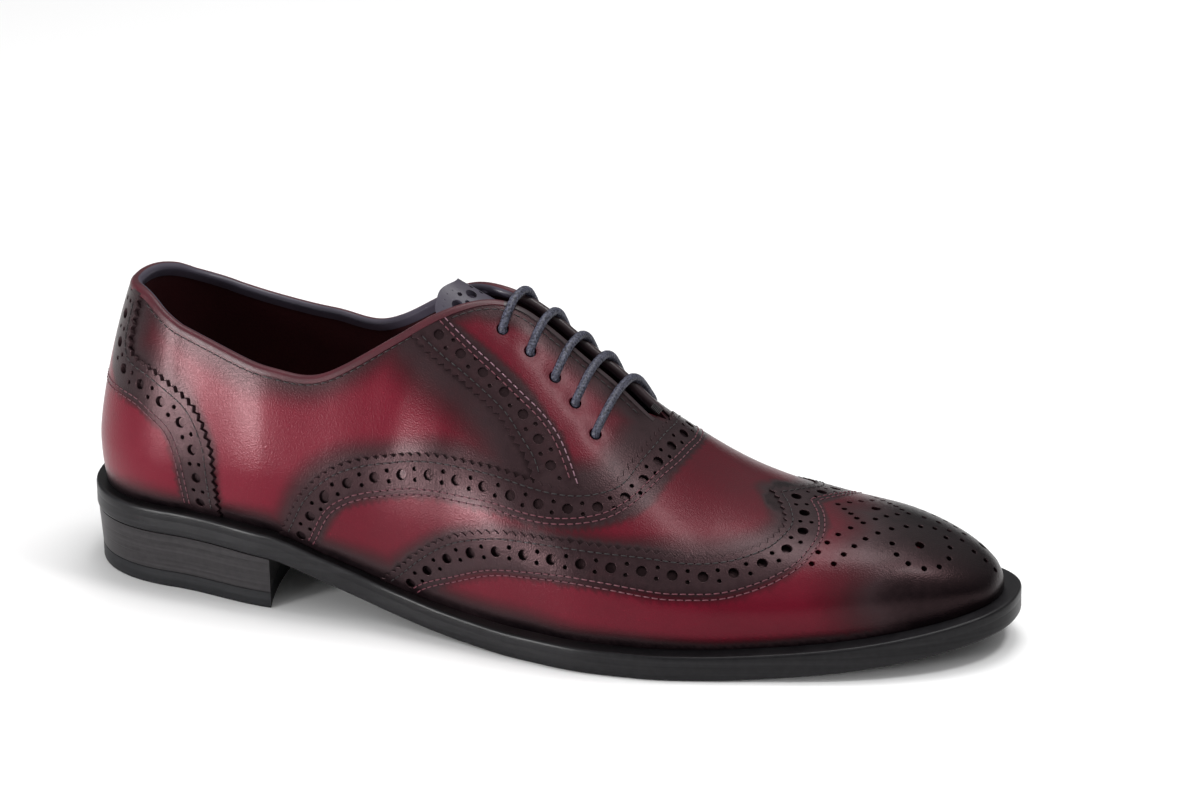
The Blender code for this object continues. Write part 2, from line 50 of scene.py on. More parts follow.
# Driving sizes, the same as the part's
SOLE_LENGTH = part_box("outsole")[1].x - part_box("outsole")[0].x
BALL_WIDTH = 0.107
OUTSOLE_THICKNESS = 0.0048
WELT_THICKNESS = 0.0032
WELT_MARGIN = 0.0060
SEAT_MARGIN = 0.0034
WELT_UNDERLAP = 0.0090
TOE_SPRING = 0.0100
HEEL_HEIGHT = 0.0190
HEEL_LENGTH = 0.0710
HEEL_INSET = 0.0004
HEEL_TAPER = 0.0008
TOP_LIFT_THICKNESS = 0.0055
BREAST_RADIUS = 0.120
BREAST_HOLLOW = 0.0045
INSTEP_HEIGHT = 0.100
OVERLAY_THICKNESS = 0.0010
WING_EXTRA = 0.0006
TONGUE_THICKNESS = 0.0020
LACE_DIAMETER = 0.0028
EYELET_DIAMETER = 0.0040
CLEARANCE = 0.0003

# Shares of the last's length
HEEL_CENTRE = 0.115
TOE_START = 0.80
TOE_CROWN_START = 0.86
MARGIN_START = 0.30
MARGIN_END = 0.55
FLAT_END = 0.70
THROAT_END = 0.612
TACK = 0.634
COLLAR_END = 0.452
TOE_SPRING_POWER = 1.9
TOE_ROUND = 2.35
TOE_CROWN_ROUND = 2.3
HEEL_ROUND = 2.25
BULGE_GIRTH = 0.22
BULGE_OUT = 0.70  # handles of the curve from the feather to the bulge
BULGE_LOW = 0.30
BULGE_HIGH = 0.62

OUTLINE = (
    # x, lateral, medial
    (0.000, 0.300, 0.300), (0.115, 0.310, 0.320), (0.230, 0.362, 0.300), (0.340, 0.365, 0.262),
    (0.430, 0.405, 0.262), (0.520, 0.468, 0.345), (0.600, 0.500, 0.430), (0.660, 0.490, 0.480),
    (0.720, 0.452, 0.500), (0.780, 0.400, 0.485), (0.840, 0.350, 0.450), (0.900, 0.305, 0.410),
    (1.000, 0.230, 0.350),
)
SHANK = (
    # x, height
    (0.000, 1.000), (0.160, 1.000), (0.230, 0.940), (0.300, 0.620), (0.380, 0.235), (0.460, 0.040),
    (0.530, 0.000), (0.700, 0.000),
)
SECTIONS = (
    # x, height, bulge, overhang_lateral, overhang_medial, side_lateral, side_medial, top_lateral, top_medial
    (0.000, 1.000, 0.15, 0.010, 0.010, 0.14, 0.14, 0.57, 0.57),
    (0.115, 1.030, 0.16, 0.037, 0.042, 0.16, 0.16, 0.52, 0.52),
    (0.250, 1.030, 0.20, 0.037, 0.065, 0.18, 0.18, 0.44, 0.44),
    (0.380, 1.000, 0.24, 0.033, 0.075, 0.32, 0.32, 0.46, 0.42),
    (0.480, 0.900, 0.25, 0.028, 0.047, 0.36, 0.34, 0.46, 0.35),
    (0.560, 0.725, 0.26, 0.023, 0.028, 0.38, 0.33, 0.46, 0.31),
    (0.640, 0.540, 0.27, 0.019, 0.019, 0.42, 0.36, 0.48, 0.33),
    (0.720, 0.390, 0.28, 0.014, 0.014, 0.48, 0.42, 0.52, 0.39),
    (0.800, 0.312, 0.30, 0.009, 0.009, 0.54, 0.48, 0.56, 0.45),
    (0.880, 0.268, 0.32, 0.005, 0.005, 0.58, 0.50, 0.60, 0.49),
    (1.000, 0.182, 0.34, 0.000, 0.000, 0.58, 0.50, 0.62, 0.53),
)
RIDGE = (
    # x, medial
    (0.00, 0.000), (0.30, 0.000), (0.50, 0.045), (0.70, 0.065), (0.85, 0.060), (1.00, 0.060),
)
TOPLINE = (
    # x, lateral, medial
    (0.000, 0.655, 0.655), (0.045, 0.648, 0.612), (0.070, 0.620, 0.590), (0.113, 0.586, 0.562),
    (0.150, 0.560, 0.538), (0.190, 0.536, 0.521), (0.227, 0.519, 0.512), (0.261, 0.520, 0.512),
    (0.290, 0.541, 0.526), (0.320, 0.586, 0.566), (0.350, 0.645, 0.628), (0.389, 0.735, 0.728),
    (0.431, 0.852, 0.852), (0.455, 0.925, 0.925), (0.612, 0.940, 0.940),
)

# Lines on the leather, each on both sides of the shoe: length share and girth share
COUNTER_EDGE = (
    # x, girth
    (0.041, 0.700), (0.039, 0.610), (0.039, 0.549), (0.045, 0.519), (0.057, 0.507), (0.076, 0.496),
    (0.101, 0.474), (0.122, 0.449), (0.137, 0.424), (0.148, 0.392), (0.157, 0.350), (0.164, 0.296),
    (0.167, 0.184), (0.168, 0.114), (0.168, -0.010),
)
COUNTER_SEAM = (
    # x, girth
    (0.000, 0.436), (0.035, 0.434), (0.060, 0.426), (0.089, 0.396), (0.112, 0.358), (0.124, 0.291),
    (0.129, 0.215), (0.133, 0.072), (0.133, -0.005),
)
EYESTAY_EDGE = (
    # x, girth
    (0.372, 0.712), (0.388, 0.683), (0.410, 0.661), (0.437, 0.644), (0.465, 0.625), (0.488, 0.605),
    (0.509, 0.572), (0.524, 0.547), (0.535, 0.503), (0.541, 0.470),
)
EYESTAY_SEAM = (
    # x, girth
    (0.395, 0.785), (0.413, 0.759), (0.443, 0.729), (0.471, 0.708), (0.499, 0.688), (0.526, 0.676),
    (0.548, 0.650), (0.562, 0.613), (0.577, 0.562),
)
VAMP_EDGE = (
    # x, girth
    (0.240, -0.010), (0.253, 0.080), (0.271, 0.196), (0.299, 0.312), (0.336, 0.370), (0.384, 0.415),
    (0.430, 0.450), (0.489, 0.480), (0.530, 0.503), (0.576, 0.550), (0.600, 0.600), (0.617, 0.665),
    (0.624, 0.750), (0.631, 0.850), (0.637, 1.000),
)
VAMP_SEAM = (
    # x, girth
    (0.270, -0.005), (0.276, 0.026), (0.302, 0.183), (0.331, 0.260), (0.386, 0.329), (0.430, 0.362),
    (0.480, 0.387), (0.530, 0.412), (0.575, 0.460), (0.615, 0.546), (0.635, 0.639), (0.648, 0.750),
    (0.659, 0.870), (0.664, 1.000),
)
WING_EDGE = (
    # x, girth
    (0.355, -0.010), (0.382, 0.080), (0.407, 0.158), (0.445, 0.247), (0.489, 0.309), (0.539, 0.359),
    (0.594, 0.410), (0.644, 0.460), (0.702, 0.516), (0.730, 0.555), (0.750, 0.600), (0.774, 0.700),
    (0.781, 0.800), (0.774, 0.870), (0.760, 0.940), (0.733, 1.000),
)
WING_SEAM = (
    # x, girth
    (0.390, -0.005), (0.405, 0.043), (0.452, 0.130), (0.482, 0.176), (0.550, 0.245), (0.620, 0.300),
    (0.681, 0.327), (0.710, 0.350), (0.738, 0.374), (0.766, 0.426), (0.792, 0.506), (0.810, 0.607),
    (0.818, 0.754), (0.810, 0.886), (0.790, 1.000),
)
EYELETS = (
    # x_lateral, x_medial, girth
    (0.470, 0.484, 0.831), (0.502, 0.517, 0.820), (0.531, 0.547, 0.806), (0.556, 0.573, 0.782),
    (0.583, 0.602, 0.740),
)
TONGUE = (
    # x, depth, edge_girth
    (0.370, 0.055, 0.760), (0.430, 0.064, 0.720), (0.600, 0.064, 0.740), (0.650, 0.042, 0.800),
    (0.700, 0.042, 0.830),
)
TONGUE_START = 0.400
TONGUE_END = 0.690
TONGUE_TOP_LEAN = (0.011, 0.004)  # outer and inner side
TONGUE_CORNER = 0.032  # how far its top corners are rounded off
TONGUE_ROW_INSET = 2.6 * MM
TONGUE_BAND_INSET = 7.0 * MM
TONGUE_HOLE_PITCH = 8.6 * MM
TONGUE_LARGE_HOLE = 3.8 * MM
TONGUE_SMALL_HOLE = 1.6 * MM
TONGUE_PAIR_SPREAD = 1.9 * MM

# Where the vamp's edge turns from the side up over the crown
VAMP_SIDE_END = 0.60
VAMP_TURN = 0.59
VAMP_RISE_GIRTH = 0.55

# Trimming
TOOTH_PITCH = 3.0 * MM  # of the gimped edges
TOOTH_DEPTH = 1.25 * MM
EDGE_ROUND = 0.18 * MM
LARGE_HOLE = 3.4 * MM
SMALL_HOLE = 1.4 * MM
HOLE_PITCH = 9.6 * MM
LARGE_SIDES = 18
SMALL_SIDES = 10
EYELET_SIDES = 16
PAIR_SPREAD = 1.75 * MM  # of the two small holes, each way from the band's middle
STITCH_PITCH = 2.6 * MM
THREAD_DIAMETER = 0.42 * MM
EDGE_ROW_INSET = 2.3 * MM  # first row of stitches, from the gimped edge
DOUBLE_ROW_GAP = 1.8 * MM
FACING_ROW_INSET = 3.2 * MM  # from the throat's edge
COLLAR_ROW_INSET = 2.3 * MM  # from the topline
COLLAR_ROW_SPAN = (0.052, 0.375)
ROW_DROP = 0.015  # girth share that a row of stitches stops below the topline
PIT_RADIUS = 0.40 * MM
PIT_DEPTH = 0.40 * MM
BASE_OUTER = -1.1 * MM  # outer face of the quarters, under the overlays
BASE_INNER = -2.2 * MM
LINING_OUTER = -2.25 * MM
LINING_INNER = -3.3 * MM
EYESTAY_OUTER = -0.30 * MM
VAMP_OUTER = 0.05 * MM
WING_OUTER = WING_EXTRA
COUNTER_OUTER = 0.0
BAR_TACK = (0.6185, 0.6265, 0.965, 0.5 * MM)  # length shares, girth share and height
BAR_TACK_THREADS = 7
FEATHER_TUCK = -0.010  # girth share to which the leather runs down behind the welt
EDGE_DROP = 0.004  # girth share that a gimped edge stops below the topline
FACING_DROP = 0.003
FACING_FOOT_GIRTH = 0.46  # girth shares between which the facing ends under the vamp
FACING_TOP_GIRTH = 0.985
UNDER_VAMP = 3.0 * MM  # how far the facing and the vamp go on under the panel ahead
UNDER_WING = 4.0 * MM
SMALL_CLEAR = 1.5 * MM  # from the vamp's edge to the facing's last small and large holes
LARGE_CLEAR = 3.5 * MM
SEAM_INSET = 1.1 * MM  # of the facing's lilac row, from the traced seam
OVERLAP = 0.05 * MM  # how far an overlay goes into the leather under it
SHARP = np.radians(50)

# Camera fitted to the photograph
CAMERA_AZIMUTH = 19.26
CAMERA_ELEVATION = 22.87
CAMERA_ROLL = -0.90
CAMERA_DISTANCE = 1.493
CAMERA_LENS = 164.06
CAMERA_TARGET = (0.0904, -0.2064, 0.1619)

WELT_TOP = OUTSOLE_THICKNESS + CLEARANCE + WELT_THICKNESS
FEATHER = WELT_TOP + CLEARANCE


def hermite(u, step, a, b, slope_a, slope_b):
    """Curve from a to b with these slopes, at a share u of the step between them."""
    start = (1 + 2 * u) * (1 - u) ** 2 * a + u * (1 - u) ** 2 * step * slope_a
    end = u * u * (3 - 2 * u) * b + u * u * (u - 1) * step * slope_b
    return start + end


def curve(table, column, key=0):
    """Smooth curve through one column of a table, without overshoot."""
    x = np.array([row[key] for row in table], float)
    y = np.array([row[column] for row in table], float)
    step = np.diff(x)
    slope = np.diff(y) / step
    tangent = np.zeros_like(y)
    tangent[0], tangent[-1] = slope[0], slope[-1]
    for k in range(1, len(x) - 1):
        if slope[k - 1] * slope[k] > 0:
            before, after = step[k - 1], step[k]
            w1, w2 = 2 * after + before, after + 2 * before
            tangent[k] = (w1 + w2) / (w1 / slope[k - 1] + w2 / slope[k])

    def value(t):
        t = np.clip(np.asarray(t, float), x[0], x[-1])
        i = np.clip(np.searchsorted(x, t) - 1, 0, len(step) - 1)
        return hermite((t - x[i]) / step[i], step[i], y[i], y[i + 1], tangent[i], tangent[i + 1])

    return value


def two_sided(table, lateral, medial):
    curves = curve(table, lateral), curve(table, medial)
    return lambda x, side: np.where(side < 0, curves[0](x), curves[1](x))


lateral_share = curve(OUTLINE, 1)
medial_share = curve(OUTLINE, 2)
shank_share = curve(SHANK, 1)
section_height = curve(SECTIONS, 1)
section_bulge = curve(SECTIONS, 2)
section_overhang = two_sided(SECTIONS, 3, 4)
section_side = two_sided(SECTIONS, 5, 6)
section_top = two_sided(SECTIONS, 7, 8)
ridge_share = curve(RIDGE, 1)
topline_rows = two_sided(TOPLINE, 1, 2)
tongue_depth = curve(TONGUE, 1)
tongue_edge = curve(TONGUE, 2)


def smooth(x, start, end):
    t = np.clip((x - start) / (end - start), 0, 1)
    return t * t * (3 - 2 * t)


def fog(distance, near, far):
    """1 up to near, then fading out to 0 at far."""
    return 1 - smooth(distance, near, far)


def unit(vectors):
    return vectors / (np.linalg.norm(vectors, axis=-1, keepdims=True) + 1e-15)


def heel_shares(count):
    """Length shares from the heel's back to its widest place, crowded at the back."""
    return HEEL_CENTRE * (1 - np.cos(np.linspace(0, np.pi / 2, count)))


def toe_shares(count):
    """Length shares from where the toe starts to its tip, crowded at the tip."""
    return TOE_START + (1 - TOE_START) * np.sin(np.linspace(0, np.pi / 2, count))[1:]


def superellipse_fall(x, start, power):
    """1 up to start, then falls to 0 at the end of the last as a rounded toe does."""
    q = np.clip((x - start) / (1 - start), 0, 1)
    return (1 - q**power) ** (1 / power)


def underside(position):
    """Height of the outsole's underside at a place along the shoe."""
    share = position / SOLE_LENGTH + 0.5
    toe = np.clip((share - FLAT_END) / (1 - FLAT_END), 0, 1)
    return HEEL_HEIGHT * shank_share(share) + TOE_SPRING * toe**TOE_SPRING_POWER


def plan(x, side, inset, extra=0.0):
    """Section plane at a length share: its foot (x, y), its direction and its reach to the outline."""
    back = -SOLE_LENGTH / 2 + inset * SEAT_MARGIN + extra
    front = SOLE_LENGTH / 2 - inset * WELT_MARGIN - extra
    run = front - back
    margin = inset * (SEAT_MARGIN + (WELT_MARGIN - SEAT_MARGIN) * smooth(x, MARGIN_START, MARGIN_END)) + extra
    lateral = lateral_share(x) * BALL_WIDTH - margin
    medial = medial_share(x) * BALL_WIDTH - margin
    half = np.maximum((lateral + medial) / 2 * superellipse_fall(x, TOE_START, TOE_ROUND), 1e-9)
    centre = (medial - lateral) / 2
    turn = np.arcsin(np.clip(1 - x / HEEL_CENTRE, 0, 1))
    across, along = np.cos(turn) / half, np.sin(turn) / (HEEL_CENTRE * run)
    reach = (across**HEEL_ROUND + along**HEEL_ROUND) ** (-1 / HEEL_ROUND)
    foot = np.stack([back + np.maximum(x, HEEL_CENTRE) * run, centre * np.cos(turn)], -1)
    direction = np.stack([-np.sin(turn), side * np.cos(turn)], -1)
    return foot, direction, reach


def outline(x, side, inset, extra=0.0):
    foot, direction, reach = plan(x, side, inset, extra)
    return foot + direction * reach[..., None]


def bezier(t, a, b, c, d):
    return (1 - t) ** 3 * a + 3 * t * (1 - t) ** 2 * b + 3 * t * t * (1 - t) * c + t**3 * d


def last_points(x, girth, side, offset=0.0):
    """Points of the last at length and girth shares: girth 0 at the feather, 1 at the crown."""
    x, girth, side, offset = np.broadcast_arrays(*(np.asarray(v, float) for v in (x, girth, side, offset)))
    foot, direction, reach = plan(x, side, 1, -offset)
    height = section_height(x) * INSTEP_HEIGHT + offset
    height *= superellipse_fall(x, TOE_CROWN_START, TOE_CROWN_ROUND)
    overhang = section_overhang(x, side) * BALL_WIDTH * superellipse_fall(x, TOE_START, TOE_ROUND)
    edge = foot + direction * reach[..., None]
    low = underside(edge[..., 0]) + FEATHER
    bulge = low + section_bulge(x) * height
    top = low + height
    wide = reach + overhang
    across = np.abs(direction[..., 1])
    crown = side * (ridge_share(x) * BALL_WIDTH * across - foot[..., 1]) * across
    t = girth / BULGE_GIRTH
    u = (girth - BULGE_GIRTH) / (1 - BULGE_GIRTH)
    out = np.where(
        girth < BULGE_GIRTH,
        bezier(t, reach, reach + BULGE_OUT * overhang, wide, wide),
        bezier(u, wide, wide, crown + (wide - crown) * section_top(x, side), crown),
    )
    up = np.where(
        girth < BULGE_GIRTH,
        bezier(t, low, low + BULGE_LOW * (bulge - low), low + BULGE_HIGH * (bulge - low), bulge),
        bezier(u, bulge, bulge + (top - bulge) * section_side(x, side), top, top),
    )
    place = foot + direction * out[..., None]
    return np.stack([place[..., 0], place[..., 1], up], -1)


# The topline with its table's corners rounded, over shares that run on round the heel
TOPLINE_ROUND = 0.017
signed_share = np.linspace(-0.68, 0.68, 2721)
bell = np.exp(-0.5 * (np.arange(-200, 201) * 0.0005 / TOPLINE_ROUND) ** 2)
rough_topline = topline_rows(np.abs(signed_share), np.sign(signed_share))
rounded_topline = np.convolve(np.pad(rough_topline, 200, mode="edge"), bell / bell.sum(), mode="valid")


def topline(x, side):
    return np.interp(np.asarray(x) * side, signed_share, rounded_topline)


# Length of leather between places of the last, in tables over length shares that crowd at both ends
X_TABLE = (1 - np.cos(np.linspace(0, np.pi, 801))) / 2
F_TABLE = np.linspace(0, 1, 101)
SIDE_LINE_GIRTH = 0.35


def running_length(points):
    steps = np.linalg.norm(np.diff(points, axis=0), axis=-1)
    return np.concatenate([np.zeros((1,) + steps.shape[1:]), np.cumsum(steps, axis=0)])


def girth_tables(side):
    """Half girth at each length share, and the tables between girth share and share of leather."""
    grid = last_points(X_TABLE[None, :], F_TABLE[:, None], side)
    run = running_length(grid)
    total = np.maximum(run[-1], 1e-7)
    share = (run / total).T
    girth = np.array([np.interp(F_TABLE, row, F_TABLE) for row in share])
    return total, share, girth


TABLES = {side: girth_tables(side) for side in (-1, 1)}
CROWN_RUN = running_length(last_points(X_TABLE, 1.0, 1))
SIDE_RUN = {side: running_length(last_points(X_TABLE, SIDE_LINE_GIRTH, side)) for side in (-1, 1)}


def looked_up(table, x, f):
    """Value of a table over length shares and even shares, between its rows and columns."""
    row = np.clip(np.interp(x, X_TABLE, np.arange(len(X_TABLE))), 0, len(X_TABLE) - 1.001)
    column = np.clip(f, 0, 1) * (len(F_TABLE) - 1)
    column = np.minimum(column, len(F_TABLE) - 1.001)
    i, j = row.astype(int), column.astype(int)
    a, b = row - i, column - j
    low = table[i, j] * (1 - b) + table[i, j + 1] * b
    high = table[i + 1, j] * (1 - b) + table[i + 1, j + 1] * b
    return low * (1 - a) + high * a


def by_side(side, value):
    """value(-1) on the outer side and value(1) on the inner side."""
    return np.where(side < 0, value(-1), value(1))


def leather_share(x, girth, side):
    return by_side(side, lambda s: looked_up(TABLES[s][1], x, girth)) + np.minimum(girth, 0)


def girth_share(x, share, side):
    return by_side(side, lambda s: looked_up(TABLES[s][2], x, share)) + np.minimum(share, 0)


def half_girth(x, side):
    return by_side(side, lambda s: np.interp(x, X_TABLE, TABLES[s][0]))


class CrownChart:
    """Flat pattern of the front of the upper: (run along the crown, leather from the crown, + medial)."""

    def flat(self, x, girth, side):
        away = side * (1 - leather_share(x, girth, side)) * half_girth(x, side)
        return np.stack([np.interp(x, X_TABLE, CROWN_RUN), away], -1)

    def knots(self, places):
        x = np.interp(places[..., 0], CROWN_RUN, X_TABLE)
        side = np.where(places[..., 1] < 0, -1, 1)
        share = 1 - np.abs(places[..., 1]) / half_girth(x, side)
        return x, girth_share(x, share, side), side


class SideChart:
    """Flat pattern of one side, or of the back with both: (run along the side, leather from the feather)."""

    def __init__(self, side=0):
        self.side = side

    def flat(self, x, girth, side):
        run = by_side(side, lambda s: np.interp(x, X_TABLE, SIDE_RUN[s]))
        sign = 1 if self.side else side
        return np.stack([sign * run, leather_share(x, girth, side) * half_girth(x, side)], -1)

    def knots(self, places):
        if self.side:
            side = np.full(places.shape[:-1], self.side)
        else:
            side = np.where(places[..., 0] < 0, -1, 1)
        run = np.abs(places[..., 0])
        x = by_side(side, lambda s: np.interp(run, SIDE_RUN[s], X_TABLE))
        return x, girth_share(x, places[..., 1] / half_girth(x, side), side), side


CROWN = CrownChart()
BACK = SideChart()
SIDES = {-1: SideChart(-1), 1: SideChart(1)}
NUDGE = 2e-5


def lifted(chart, places, height, shape=None):
    """Points of the leather over places of a chart."""
    x, girth, side = chart.knots(places)
    return last_points(x, girth, side, height if shape is None else height + shape(x, girth, side))


def frames(chart, places, height=0.0, shape=None):
    """Point, the two directions along the chart's axes and the outward normal at each place."""
    here = lifted(chart, places, height, shape)
    if isinstance(chart, SideChart) and chart.side:
        # a side's chart ends at the heel's back, the toe and the crown, so look inwards from its ends
        ahead = np.where(places[..., :1] < SIDE_RUN[chart.side][-1] / 2, NUDGE, -NUDGE)
        u = (lifted(chart, places + ahead * np.array((1.0, 0.0)), height, shape) - here) / ahead
        v = (here - lifted(chart, places - (0.0, NUDGE), height, shape)) / NUDGE
    else:
        ways = np.array(((1, 0), (-1, 0), (0, 1), (0, -1))) * NUDGE
        ends = [lifted(chart, places + way, height, shape) for way in ways]
        u = (ends[0] - ends[1]) / (2 * NUDGE)
        v = (ends[2] - ends[3]) / (2 * NUDGE)
    return here, u, v, unit(np.cross(u, v)) * outward_sign(chart, places)[..., None]


def outward_sign(chart, places):
    """Sign that turns the chart's own normal out of the shoe."""
    if isinstance(chart, CrownChart):
        return np.ones(places.shape[:-1])
    return np.full(places.shape[:-1], -chart.side if chart.side else -1.0)


def shifted(chart, places, vectors):
    """Places moved by small vectors that lie on the leather."""
    _, u, v, _ = frames(chart, places)
    uu, uv, vv = (u * u).sum(-1), (u * v).sum(-1), (v * v).sum(-1)
    a, b = (u * vectors).sum(-1), (v * vectors).sum(-1)
    scale = uu * vv - uv * uv + 1e-12
    return places + np.stack([(a * vv - b * uv) / scale, (b * uu - a * uv) / scale], -1)


class Line:
    """A line on a chart, with its true length on the shoe."""

    def __init__(self, chart, places):
        self.chart = chart
        self.places = places
        self.run = running_length(last_points(*chart.knots(places)))

    @property
    def length(self):
        return self.run[-1]

    def at(self, run):
        return np.stack([np.interp(run, self.run, self.places[:, k]) for k in (0, 1)], -1)

    def ways(self, run):
        """Places at these runs, with the direction across the line there, to its left."""
        places = self.at(run)
        normal = frames(self.chart, places)[3]
        step = 0.3 * MM
        ahead = last_points(*self.chart.knots(self.at(np.minimum(run + step, self.length))))
        behind = last_points(*self.chart.knots(self.at(np.maximum(run - step, 0))))
        along = ahead - behind
        along -= normal * (along * normal).sum(-1, keepdims=True)
        return places, np.cross(normal, unit(along))

    def aside(self, run, distance):
        """Places at these runs, moved across the line by a distance on the leather."""
        places, across = self.ways(run)
        return shifted(self.chart, places, across * np.asarray(distance)[..., None])

    def beside(self, distance, spacing=1.0 * MM):
        run = np.linspace(0, self.length, max(int(self.length / spacing), 4))
        return Line(self.chart, self.aside(run, distance))


def traced(chart, rows, side, count=240):
    """Line through a table's rows, on one side of the shoe, rounded by a smooth curve."""
    rows = np.array(rows)
    flat = chart.flat(rows[:, 0], rows[:, 1], side)
    run = running_length(flat)
    table = np.column_stack([run, flat])
    t = np.linspace(0, run[-1], count)
    return Line(chart, np.stack([curve(table, 1)(t), curve(table, 2)(t)], -1))


def joined(lateral, medial):
    """Two halves of a line as one, from the lateral feather to the medial feather."""
    return Line(CROWN, np.concatenate([lateral.places, medial.places[::-1][1:]]))


def across_crown(rows):
    return joined(traced(CROWN, rows, -1), traced(CROWN, rows, 1))


WING_AXIS = (
    # mm forward of the chart's place at AXIS_SHARE, mm to the inner side of the crown
    (-17.0, -4.0), (9.0, 0.8), (21.0, 3.3), (40.0, 7.6), (56.0, 9.5), (70.0, 10.0),
)
AXIS_SHARE = 0.79
AXIS_START = float(np.interp(AXIS_SHARE, X_TABLE, CROWN_RUN))
wing_axis_rows = curve(WING_AXIS, 1)


def wing_axis(forward):
    """How far the axis of the wing cap's pattern lies to the inner side, at runs along the crown."""
    return wing_axis_rows((forward - AXIS_START) / MM) * MM


def wing_half(rows, side):
    """One half of a wing cap's line, from the feather to the cap's axis."""
    places = traced(CROWN, rows, -1).places
    gap = wing_axis(places[:, 0]) - places[:, 1]
    last = int(np.argmax(gap < 0)) if (gap < 0).any() else len(places) - 1
    part = gap[last - 1] / (gap[last - 1] - gap[last]) if gap[last] < 0 else 1.0
    meeting = places[last - 1] + (places[last] - places[last - 1]) * part
    places = np.vstack([places[:last], meeting])
    if side > 0:
        axis = wing_axis(places[:, 0])
        follow = fog(axis - places[:, 1], 12 * MM, 60 * MM)
        places = np.column_stack([places[:, 0], 2 * axis * follow - places[:, 1]])
    return Line(CROWN, places)


def across_wing(rows):
    return joined(wing_half(rows, -1), wing_half(rows, 1))


def on_its_side(line, side):
    """The line without what lies beyond the wing cap's axis."""
    return Line(line.chart, line.places[(line.places[:, 1] - wing_axis(line.places[:, 0])) * side >= 0])


TOOTH = ((0.00, 0.00), (0.30, 0.66), (0.50, 1.00), (0.70, 0.66))  # shares of a tooth's pitch and depth


def gimped(line, outward):
    """The line with a row of pinked teeth that point to one side of it."""
    teeth = max(int(round(line.length / TOOTH_PITCH)), 1)
    run = np.array([(k + t) / teeth * line.length for k in range(teeth) for t, _ in TOOTH] + [line.length])
    depth = np.array([d for _ in range(teeth) for _, d in TOOTH] + [0.0])
    return line.aside(run, outward * (depth - 0.5) * TOOTH_DEPTH)


def spaced(start, end, pitch):
    """Even runs with about this pitch."""
    count = max(int(round((end - start) / pitch)), 1)
    return np.linspace(start, end, count + 1)


def tree_of(points):
    tree = KDTree(len(points))
    for k, point in enumerate(points):
        tree.insert(point, k)
    tree.balance()
    return tree


